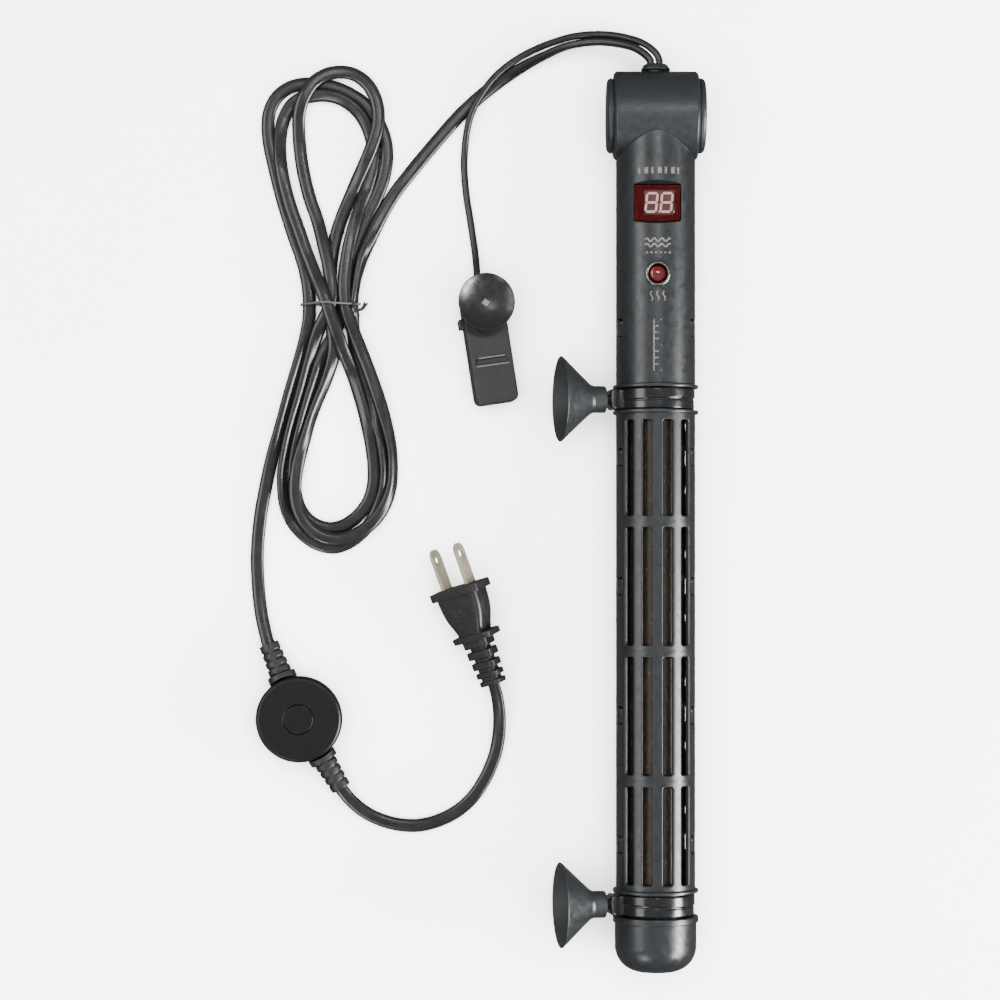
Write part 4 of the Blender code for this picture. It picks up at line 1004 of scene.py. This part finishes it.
def display():
    half_w, half_h = (size / 2 for size in DISPLAY_SIZE)
    window = block((-half_w, -DISPLAY_FACE, DISPLAY_Z - half_h),
                   (half_w, -DISPLAY_FACE + 0.6, DISPLAY_Z + half_h), 0.15)
    piece("display_window", window, LENS, ["display_lens"], slot="red_lens", place=HEATER)
    # The red surround stands behind the window, round the module's clear part.
    clear_x, clear_z, clear_w, clear_h = 0.9, DISPLAY_Z + 0.3, 12.6, 10.4
    outer = [(x, y + DISPLAY_Z) for x, y in rounded(2 * half_w - 0.3, 2 * half_h - 0.3, 0.5)]
    inner = [(x + clear_x, y + clear_z) for x, y in rounded(clear_w, clear_h, 0.6)]
    rings = [[(x, -out, z) for x, z in ring]
             for out, ring in ((12.3, outer), (12.3, inner), (11.4, inner), (11.4, outer))]
    piece("display_surround", Skin().wrap(rings), RED_FILTER, slot="red_lens", place=HEATER)
    module = block((-8.8, -11.2, DISPLAY_Z - 6.8), (8.8, -6.4, DISPLAY_Z + 6.8), 0.3)
    piece("display_digits_body", module, MODULE, ["display_module"], slot="display_face", place=HEATER)
    digit_w, digit_h, stroke, slant, back, front = 4.3, 7.6, 0.95, 0.10, 11.1, 11.38
    skin = Skin()

    def bar(x0, z0, x1, z1):
        """One lit segment, with pointed ends, between two points of a digit."""
        along = Vector((x1 - x0, z1 - z0)).normalized()
        across = Vector((-along.y, along.x)) * stroke / 2
        a, b = Vector((x0, z0)) + along * 0.12, Vector((x1, z1)) - along * 0.12
        tip = along * stroke / 2
        outline = [a, a + tip - across, b - tip - across, b, b - tip + across, a + tip + across]
        skin.loft([[(p.x + slant * (p.y - clear_z), -out, p.y) for p in outline] for out in (back, front)])

    for middle in (-2.3, 3.9):
        left, right = middle - digit_w / 2, middle + digit_w / 2
        levels = [clear_z - digit_h / 2, clear_z, clear_z + digit_h / 2]
        for z in levels:
            bar(left, z, right, z)
        for low, high in zip(levels, levels[1:]):
            for x in (left, right):
                bar(x, low, x, high)
        low, high = levels[0] - 0.4, levels[0] + 0.4
        skin.join(block((right + 0.75, -front, low), (right + 1.45, -back, high), 0.1))
    piece("display_digits", skin, DIGIT, slot="display_face", place=HEATER)


def indicator():
    at = HEATER @ Matrix.Translation((0, 0, INDICATOR_Z)) @ rotation(90, "X")
    bezel = [(4.0, 12.2), (4.4, 12.2), (4.4, 16.5), (5.25, 16.5), (5.3, 16.8), (5.05, 17.35), (4.6, 17.6),
             (4.15, 17.5), (3.95, 17.0)]
    piece("indicator_ring", turned(bezel, 72, 0.15), CHROME, ["indicator_bezel"], slot="chrome", place=at)
    curve, rise = 15.7, 1.4
    dome = [(0, 12.6), (3.7, 12.6), (3.7, 14.6), (DOME_R, 14.9),
            *((DOME_R * x, curve + rise * y) for x, y in arc((0, 0), 1, 0, 75, 5)), (0, curve + rise)]
    piece("indicator_dome", turned(dome, 64, soft=0), RED_DOME, ["indicator_lens"], slot="red_lens",
          place=at)


def printed_marks():
    """Generic pad-printed signs that follow the tube: dashes, a wave, warm-air lines and a level mark."""
    outer, inner = TUBE_R + 0.03, TUBE_R - 0.02
    skin = Skin()

    def stroke(points, width):
        """A line of even width through (x along the surface, height) points."""
        sides = []
        for k, point in enumerate(points):
            ahead = Vector(points[min(k + 1, len(points) - 1)]) - Vector(points[max(k - 1, 0)])
            across = Vector((-ahead.y, ahead.x)).normalized() * width / 2
            sides.append((Vector(point) + across, Vector(point) - across))
        skin.loft([[on_shell(p.x / TUBE_R, p.y, radius)
                    for p, radius in ((a, outer), (b, outer), (b, inner), (a, inner))] for a, b in sides])

    row_z, wave_z, dash_z, air_z, scale_z = 331.2, 302.6, 297.4, 277.6, 249.0
    for k in range(7):
        x = -8.4 + 2.8 * k
        stroke([(x, row_z), (x + 1.0 + 0.6 * (k % 2), row_z)], 2.6)
    wave = [(-5.4 + 0.45 * k, wave_z + 0.7 * math.sin(k * 0.9)) for k in range(25)]
    stroke(wave, 0.75)
    stroke([(x, y - 2.2) for x, y in wave], 0.75)
    for x in (-5.0, -3.1, -1.2, 0.7, 2.6, 4.5):
        stroke([(x, dash_z), (x + 1.0, dash_z)], 0.6)
    for x in (-2.6, 0, 2.6):
        stroke([(x + 0.45 * math.sin(k * 0.8), air_z + 0.5 * k) for k in range(9)], 0.5)
    marks, pitch, left = 9, 2.6, -1.6
    for k in range(marks):
        height = scale_z + pitch * k
        stroke([(left, height), (1.6 if k % 4 == 0 else 0.4, height)], 0.45)
    stroke([(left, scale_z), (left, scale_z + pitch * (marks - 1))], 0.5)
    piece("printed_marks", skin, PRINT, slot="satin_black_plastic", place=HEATER, sharp=60)


# The clip-on brackets and their suction cups.
def bracket_frame(groove):
    return HEATER @ Matrix.Translation((0, 0, sum(groove) / 2)) @ Matrix.Rotation(cup_tilt(), 4, "Z")


def bracket(side, groove, lean):
    at = bracket_frame(groove)
    body = f"{side}_bracket_body"
    bore = NECK_R + GAP
    middle = 1.2

    def stacked(radius, height, angle):
        """The groove between the two straps runs a little uphill round the ring."""
        return radius, height + (lean * math.cos(angle) if abs(height) < middle else 0)

    half = BRACKET_HALF
    ring = [(bore, -half), (15.75, -half), (16.0, -half + 0.5), (16.0, -1.0), (15.7, -0.55), (15.7, -0.1),
            (BRACKET_R, 0.3), (BRACKET_R, half - 0.6), (16.0, half), (bore, half)]
    piece(f"{side}_clip_ring", turned(ring, 128, 0.22, stacked), CLIP, [f"{side}_bracket"], body,
          "satin_black_plastic", at)
    stations = ((-14.7, 6.1, half - 0.1), (-16.7, 5.9, half - 0.1), (-17.0, 5.4, half - 0.45),
                (-17.5, 5.4, half - 0.45), (-17.8, 5.6, half - 0.15), (-19.3, 5.1, half - 0.25),
                (-SOCKET_OUT, 4.3, half - 0.9))
    rings = [[(x, y, z) for y, z in rounded(2 * wide, 2 * tall, 1.1)] for x, wide, tall in stations]
    piece(f"{side}_clip_socket", Skin().loft(rings), CLIP, body=body, slot="satin_black_plastic", place=at)
    outwards = at @ rotation(-90, "Y")
    pin = [(0, 18.5), (2.2, 18.5), (2.2, 22.9), (3.0, 22.9), (3.0, 24.2), (2.2, 24.8), (0, 24.8)]
    piece(f"{side}_clip_pin", turned(pin, 48, 0.25), CLIP, body=body, slot="satin_black_plastic",
          place=outwards)
    mouth = CUP_MOUTH
    cup = [(0, 26.4), (3.5, 26.4), (3.5, 22.4), (2.6, 22.4), (2.6, 21.4), (5.2, 21.4), (5.6, 21.8),
           (5.6, 26.6), (6.2, 27.9), (9.6, 31.6), (13.4, 35.6), (16.4, 38.7), (CUP_R - 0.15, mouth - 0.5),
           (CUP_R, mouth - 0.2), (CUP_R - 0.15, mouth), (CUP_R - 0.55, mouth - 0.1), (15.6, 38.8),
           (12.4, 35.8), (8.4, 32.7), (4.6, 31.0), (0, 30.3)]
    piece(f"{side}_cup", turned(cup, 112, 0.35), CUP_RUBBER, [f"{side}_suction_cup"], f"{side}_cup_body",
          "soft_rubber", outwards)


# The controller on the power cord.
def controller():
    base = [(0, 0), (16.9, 0), (17.7, 0.8), (17.7, 5.5), (16.0, 5.5), (16.0, 1.8), (0, 1.8)]
    piece("controller_tray", turned(base, 128, 0.35), CONTROLLER_GLOSS, ["controller_base"],
          slot="controller_plastic", place=CONTROLLER)
    cover = [(6.4, 12.75), (6.4, 11.2), (15.4, 11.2), (16.2, 10.4), (16.2, 5.8), (CONTROLLER_R, 5.8),
             (CONTROLLER_R, 11.2), (17.98, 11.85), (17.6, 12.4), (17.05, 12.78), (16.4, 12.9), (6.55, 12.9)]
    cap = piece("controller_cap", turned(cover, 144, 0.18), CONTROLLER_GLOSS, ["controller_cover"],
                slot="controller_plastic", place=CONTROLLER)
    button = [(0, 8.9), (7.4, 8.9), (7.4, 10.2), (BUTTON_R, 10.2), (BUTTON_R, 12.85), (5.9, 13.02),
              (5.6, 13.05), (0, 13.05)]
    piece("press_button", turned(button, 96, 0.3), CONTROLLER_GLOSS, ["controller_button"], "button_body",
          "controller_plastic", CONTROLLER)
    return cap


def strain_relief(name):
    """A tapered oval sleeve with ribs, and a spine along it above and below."""
    flat, ribs, pitch, groove = 0.86, 4, 3.3, 0.6

    def against_controller(radius, height, angle):
        """The foot of the sleeve follows the controller's round side."""
        if height > 0:
            return radius, height
        return radius, height - (radius * math.sin(angle)) ** 2 / (2 * CONTROLLER_R)

    stations = [(BASE_DEPTH, 6.1), (1.5, 6.1)]
    for k in range(ribs):
        radius, z = 4.9 - 0.2 * k, 2.4 + pitch * k
        stations += [(z - 0.2, radius - groove), (z, radius), (z + 2.1, radius), (z + 2.3, radius - groove)]
    stations[-1] = (RELIEF_LENGTH, stations[-2][1])
    corners = [(0, BASE_DEPTH), (3.0, BASE_DEPTH), *((r, z) for z, r in stations), (0, RELIEF_LENGTH)]
    skin = turned(soften(corners, 0.3), 64, soft=0, shape=against_controller)
    skin.moved(Matrix.Diagonal((flat, 1, 1, 1)))
    rings = [[(x * flat, y, z) for x, y in rounded(2 * reach - 0.5, 2.4, 0.5)]
             for z, reach in ((1.2, 5.0), (RELIEF_LENGTH - 1.0, 4.25))]
    skin.join(Skin().loft(rings))
    return piece(f"relief_{name}", skin, RELIEF_RUBBER, [f"strain_relief_{name}"], slot="soft_rubber",
                 place=relief_frame(name), sharp=50)


def cut(skin, tool):
    """The skin with the tool taken out of it."""
    objects = []
    for part in (skin, tool):
        bmesh.ops.recalc_face_normals(part.bm, faces=part.bm.faces)
        objects.append(into_scene("scratch", mesh_of(part.bm)))
    modifier = objects[0].modifiers.new("Cut", "BOOLEAN")
    modifier.operation = "DIFFERENCE"
    modifier.solver = "EXACT"
    modifier.object = objects[1]
    evaluated = objects[0].evaluated_get(bpy.context.evaluated_depsgraph_get())
    shaped = bpy.data.meshes.new_from_object(evaluated)
    made = Skin()
    made.bm.from_mesh(shaped)
    bpy.data.meshes.remove(shaped)
    for obj in objects:
        mesh = obj.data
        bpy.data.objects.remove(obj)
        bpy.data.meshes.remove(mesh)
    return made


# The plug.
def plug():
    ribs = ((0.0, 2.0, 10.8, 7.0), (3.6, 5.8, 11.2, 7.3), (7.6, 10.4, 11.7, 7.7), (12.2, 15.4, 12.3, 8.1))
    core, core_end, face = (8.4, 5.8), 16.95, 43.5
    stations = []
    for start, stop, *size in ribs:
        stations += [(start, *size), (stop, *size), (stop + 0.05, *core), (stop + 1.55, *core)]
    stations[-1] = (core_end, *core)
    stations += [(17.0, 12.4, 8.4), (20.15, 12.4, 8.8), (20.2, 19.6, 10.6), (22.8, 19.6, 10.6),
                 (22.85, 12.6, 9.2), (24.6, 13.5, 9.4), (26.6, 15.1, 9.6), (28.8, 17.0, 9.9),
                 (31.2, 18.6, 10.2), (34.2, 19.8, 10.4), (37.2, 20.4, 10.5), (40.15, 20.7, 10.6),
                 (40.2, 25.0, 12.6), (face, 25.0, 12.6)]
    rings = [[(x, y, z) for x, z in rounded(width, height, 1.9, 9, 7)] for y, width, height in stations]
    body = piece("plug_moulding", Skin().loft(rings), PLUG_RUBBER, ["plug_body"], slot="soft_rubber",
                 place=PLUG, bevel=0.35)
    # A raised square with a smaller one inside it.
    badge = Skin()
    top = 5.15
    for low, high in (((-2.6, 31.2), (-2.1, 36.2)), ((1.7, 31.2), (2.2, 36.2)), ((-2.6, 31.2), (2.2, 31.7)),
                      ((-2.6, 35.7), (2.2, 36.2)), ((-1.2, 32.7), (0.8, 34.7))):
        badge.join(block((*low, top - 0.7), (*high, top + 0.08), 0.08, 2))
    mark = piece("plug_badge", badge, PLUG_RUBBER, slot="soft_rubber", place=PLUG)
    thick, long, wide = BLADE_SIZE
    start, tip_r, bore_r, bore_back = face + GAP, 3.0, 1.6, 4.6
    nose = start + long - tip_r
    outline = [(start, wide / 2), (nose - 0.4, wide / 2), *arc((nose, 0), tip_r, 90, -90, 12),
               (nose - 0.4, -wide / 2), (start, -wide / 2)]
    blades = []
    for name, side in (("left", -1), ("right", 1)):
        middle = side * BLADE_SPACING / 2
        sides = (middle - thick / 2, middle + thick / 2)
        slab = Skin().loft([[(x, y, z) for y, z in outline] for x in sides])
        bore = turned([(0, -2), (bore_r, -2), (bore_r, 2), (0, 2)], 40, soft=0)
        bore.moved(Matrix.Translation((middle, start + long - bore_back, 0)) @ rotation(90, "Y"))
        blades.append(piece(f"blade_{name}", cut(slab, bore), BLADE, [f"plug_blade_{name}"],
                            slot="blade_metal", place=PLUG, bevel=0.18))
    return [body, mark, *blades]


# The external temperature sensor.
def shoulder(y):
    """How wide the sensor is at y, of its full width: it narrows under its cup, towards its lead."""
    start, length, narrowing = 0.5, 8.0, 0.40
    share = min(max((y - start) / length, 0), 1)
    return 1 - narrowing * share * share * (3 - 2 * share)


def tray(half, back, front, corner, levels):
    """A rounded dish through (height, inset) levels, closed at its first and last."""
    rings = []
    for z, inset in levels:
        outline = rounded(2 * (half - inset), front - back - 2 * inset, max(corner - inset, 0.6), 11, 29, 4)
        outline = [(x, y + (front + back) / 2) for x, y in outline]
        rings.append([(x * shoulder(y), y, z) for x, y in outline])
    return Skin().loft(rings)


def sensor():
    pieces = []

    def add(name, skin, *replaced, look=SENSOR_SHELL, body="root", slot="satin_black_plastic", place=SENSOR,
            **more):
        pieces.append(piece(name, skin, look, replaced, body, slot, place, **more))

    back, front = SENSOR_SPAN
    low, top = SENSOR_SPLIT + GAP, SENSOR_TOP
    half, corner, wall = SENSOR_W / 2, 2.8, 2.0
    levels = ((0, 0.8), (0.12, 0.4), (0.4, 0.12), (0.8, 0), (4.5, 0), (SENSOR_SPLIT, 0.25),
              (SENSOR_SPLIT, wall), (1.6, wall))
    add("sensor_back", tray(half, back, front, corner, levels), "sensor_base")
    levels = ((top - 1.6, wall), (low, wall), (low, 0.25), (low + 0.25, 0), (top - 0.8, 0),
              (top - 0.35, 0.12), (top - 0.1, 0.4), (top, 0.9))
    cover = tray(half, back, front, corner, levels)
    channel = tray(half - 1.9, -25.6, -22.4, 0.4, ((top - 0.7, 0.7), (top + 0.1, 0.0)))
    add("sensor_front", cut(cover, channel), "sensor_cover", sharp=30)
    add("sensor_lug", block((-half - 2.2, -9.2, 3.2), (-half + 0.6, -4.9, 8.4), 0.5))
    stud = [(0, top - 0.6), (1.6, top - 0.6), (1.6, 12.8), (2.2, 12.8), (2.2, 13.8), (0, 13.8)]
    add("sensor_stud", turned(stud, 40, 0.2))
    rim_z, rim_r = SENSOR_CUP_Z, SENSOR_CUP_R
    cup = [(0, 14.8), (2.7, 14.8), (2.7, 12.4), (2.0, 12.4), (2.0, 10.8), (4.2, 10.8), (4.2, 13.2),
           (6.6, 15.0), (9.4, 16.9), (rim_r - 0.25, rim_z - 0.45), (rim_r, rim_z - 0.2),
           (rim_r - 0.1, rim_z), (rim_r - 0.5, rim_z - 0.15), (10.6, 18.4), (9.6, 17.85), (8.2, 17.2),
           (6.6, 16.65), (5.0, 16.2), (3.4, 15.9), (0, 15.7)]
    on_cup = {"body": "sensor_cup_body", "slot": "soft_rubber"}
    add("sensor_suction_cup", turned(cup, 96, 0.3), "sensor_cup", look=SENSOR_CUP, **on_cup)
    # A small square nub in the middle of the cup, its corners towards the body's ends and sides; its pale
    # colour is a painted highlight.
    nub_r = 1.9
    rings = [[(x, y, z) for x, y in round_section(2 * radius, 4)]
             for z, radius in ((15.6, nub_r), (16.1, nub_r), (16.45, nub_r - 0.5))]
    add("sensor_cup_nub", Skin().loft(rings), look=CUP_NUB_HIGHLIGHT, bevel=0.12, **on_cup)
    # The lips along the channel's two long edges, their pale colour a painted highlight.
    lips = Skin()
    for y, reach in ((-22.35, 5.6), (-25.65, 7.0)):
        lips.join(block((-reach, y - 0.3, top - 0.5), (reach, y + 0.3, top + 0.14), 0.13, 2))
    add("sensor_channel_lips", lips, look=SENSOR_LIP_HIGHLIGHT)
    grommet = [(0, front + GAP), (2.6, front + GAP), (2.6, front + 0.8), (2.3, 12.2), (0, 12.2)]
    at = SENSOR @ Matrix.Translation((0, 0, 5)) @ rotation(-90, "X")
    add("sensor_collar", turned(grommet, 48, 0.2), "sensor_grommet", look=CUP_RUBBER, slot="soft_rubber",
        place=at)
    return pieces


# The cords, and the wire tie round the hank.
def flat_cord(name, route, replaced):
    points = smooth(route)
    skin = swept(points, cord_section(), (CORD_W - CORD_T) / 2, CORD_T / 2)
    made = piece(name, skin, CORD, replaced, slot="cord_pvc", sharp=60)
    return made, [tuple(p.xyz * MM) for p in points]


def tie():
    """A closed loop of wire drawn round the strands, and its twisted ends."""
    y = (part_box("cord_tie")[0][1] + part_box("cord_tie")[1][1]) / 2 / MM
    clear = CORD_T / 2 + TIE_WIRE_R + 0.1
    half = (CORD_W - CORD_T) / 2
    around = []
    for x, z, turn in TIE_SECTIONS:
        reach = half * Vector((math.cos(math.radians(turn)), math.sin(math.radians(turn))))
        for end in (Vector((x, z)) + reach, Vector((x, z)) - reach):
            around += [end + clear * Vector((math.cos(a), math.sin(a)))
                       for a in (math.tau * k / 24 for k in range(24))]
    lowest = TIE_WIRE_R + 0.05
    loop = [Vector((around[at].x, y + 0.25 * math.sin(0.5 * k), max(around[at].y, lowest)))
            for k, at in enumerate(convex_hull_2d(around))]
    rings = []
    for k, at in enumerate(loop):
        ahead = (loop[(k + 1) % len(loop)] - loop[k - 1]).normalized()
        side = Vector((0, 1, 0))
        out = side.cross(ahead).normalized()
        rings.append([at + side * a + out * b for a, b in round_section(2 * TIE_WIRE_R, 12)])
    start = max(loop, key=lambda p: p.x)
    stem = [start + Vector(step) for step in ((-2.6, 0.1, 3.0), (-1.9, -1.5, 3.0), (-0.7, -2.6, 2.2),
                                              (0.7, -2.3, 1.0), (1.6, -1.3, 0.2), (2.2, -0.2, -0.2))]
    wound = smooth(stem, 0.35)
    twist, twist_r, strand = 0.85, 0.5, 0.95
    ends = Skin()
    hooks = {0: ((0.5, 0.3, 0.0), (0.9, 0.2, 0.0)), math.pi: ((0.1, 0.5, 0.0), (0.0, 1.1, -0.1))}
    for phase, hook in hooks.items():
        points = []
        for k, point in enumerate(wound):
            x, z = math.cos(phase + k * twist), math.sin(phase + k * twist)
            points.append(point.xyz + twist_r * Vector((x, 0.2 * z, z)))
        points += [points[-1] + Vector(step) for step in hook]
        ends.join(swept([Vector((*p, 0)) for p in points], round_section(strand, 10)))
    piece("hank_tie_ends", ends, TIE_ENDS, slot="tie_coating", sharp=60)
    return piece("hank_tie", Skin().wrap(rings), TIE, ["cord_tie"], slot="tie_coating", sharp=60)


def cords():
    route = HEATER_CORD + HANKED_CORD + CONTROLLER_CORD
    main, path = flat_cord("power_cord", route, ["power_cord_heater", "cord_hank", "power_cord_controller"])
    tie()
    tail, path = flat_cord("plug_cord", PLUG_CORD, ["power_cord_plug"])
    points = smooth(SENSOR_LEAD)
    lead = piece("sensor_cable", swept(points, round_section(LEAD_D), 0, LEAD_D / 2), CORD, ["sensor_lead"],
                 slot="cord_pvc", sharp=60)


# The pieces sealed inside keep their CAD shapes.
SEALED_IN = {
    "resistance_wire": ["heating_coil"],
    "ceramic": ["element_core"],
    "soft_rubber": ["tube_cushion", "tube_stopper", "tube_seal"],
    "satin_black_plastic": ["gland_nut"],
    "red_lens": ["indicator_led"],
    "circuit_board": ["control_board", "controller_board", "sensor_board"],
    "component_plastic": ["power_relay", "button_switch"],
    "component_metal": ["filter_capacitor", "thermal_fuse", "thermistor"],
}


def finish_inside():
    for kind, names in SEALED_IN.items():
        for name in names:
            for entry in frame["nodes"][name].material_slots:
                entry.material = INSIDE[kind]


# The camera looks straight down, as the picture was taken, and the floor is the table that it lies on.
def camera():
    data = bpy.data.cameras.new("Camera")
    data.sensor_width = 36.0
    data.lens = CAMERA_LENS
    data.shift_y = CAMERA_SHIFT
    data.clip_end = 20.0
    made = into_scene("Camera", data)
    made.location = Vector(CAMERA_AT) * MM
    bpy.context.scene.camera = made


def floor():
    bm = bmesh.new()
    bmesh.ops.create_grid(bm, x_segments=2, y_segments=2, size=4)
    mesh = mesh_of(bm, "Floor")
    mesh.materials.append(FLOOR_PAPER)
    made = into_scene("Floor", mesh)
    made.location.z = FLOOR_Z * MM
    made.visible_glossy = False


def softbox(name, place, size, radiance, target=(-0.04, 0.0, 0.01), mirrored=True):
    """A rectangle of light aimed at a point; one that isn't mirrored leaves no highlight."""
    data = bpy.data.lights.new(name, "AREA")
    data.shape = "RECTANGLE"
    data.size, data.size_y = size
    data.energy = radiance * math.pi * size[0] * size[1]
    made = into_scene(name, data)
    made.location = place
    made.rotation_euler = (Vector(target) - Vector(place)).to_track_quat("-Z", "Y").to_euler()
    made.visible_glossy = mirrored


def lights():
    world = bpy.data.worlds.new("Studio")
    bpy.context.scene.world = world
    world.use_nodes = True
    tree = world.node_tree
    back = tree.nodes["Background"]
    sky = tree.nodes.new("ShaderNodeTexCoord")
    split = tree.nodes.new("ShaderNodeSeparateXYZ")
    level = tree.nodes.new("ShaderNodeMapRange")
    tree.links.new(sky.outputs["Generated"], split.inputs[0])
    tree.links.new(split.outputs["Z"], level.inputs["Value"])
    for key, value in (("From Min", -0.05), ("From Max", 0.15), ("To Min", 0.20), ("To Max", 0.38)):
        level.inputs[key].default_value = value
    tree.links.new(level.outputs["Result"], back.inputs["Strength"])
    back.inputs["Color"].default_value = (1, 1, 1, 1)
    softbox("Overhead", (-0.05, 0.0, 1.5), (1.9, 1.9), 15.5, mirrored=False)
    softbox("KeyRight", (0.95, -0.39, 0.42), (0.85, 0.34), 50.0)
    softbox("FillLeft", (-0.80, 0.10, 0.72), (1.0, 0.45), 5.0)
    softbox("LowLeft", (-0.54, -0.92, 0.64), (0.26, 0.22), 26.0, target=(0.01, -0.17, 0.01))
    softbox("TopBack", (0.08, 0.435, 1.30), (0.44, 0.13), 16.0, target=(0.01, 0.16, 0.02))


def main():
    camera()
    floor()
    lights()
    end_cap()
    quartz_tube()
    middle_neck()
    guard()
    housing()
    latch_tongues()
    head()
    display()
    indicator()
    printed_marks()
    bracket("upper", UPPER_GROOVE, 0.55)
    bracket("lower", LOWER_GROOVE, -0.55)
    cap = controller()
    reliefs = [strain_relief(name) for name in RELIEF_ANGLES]
    plug_pieces = plug()
    sensor_pieces = sensor()
    cords()
    finish_inside()


main()
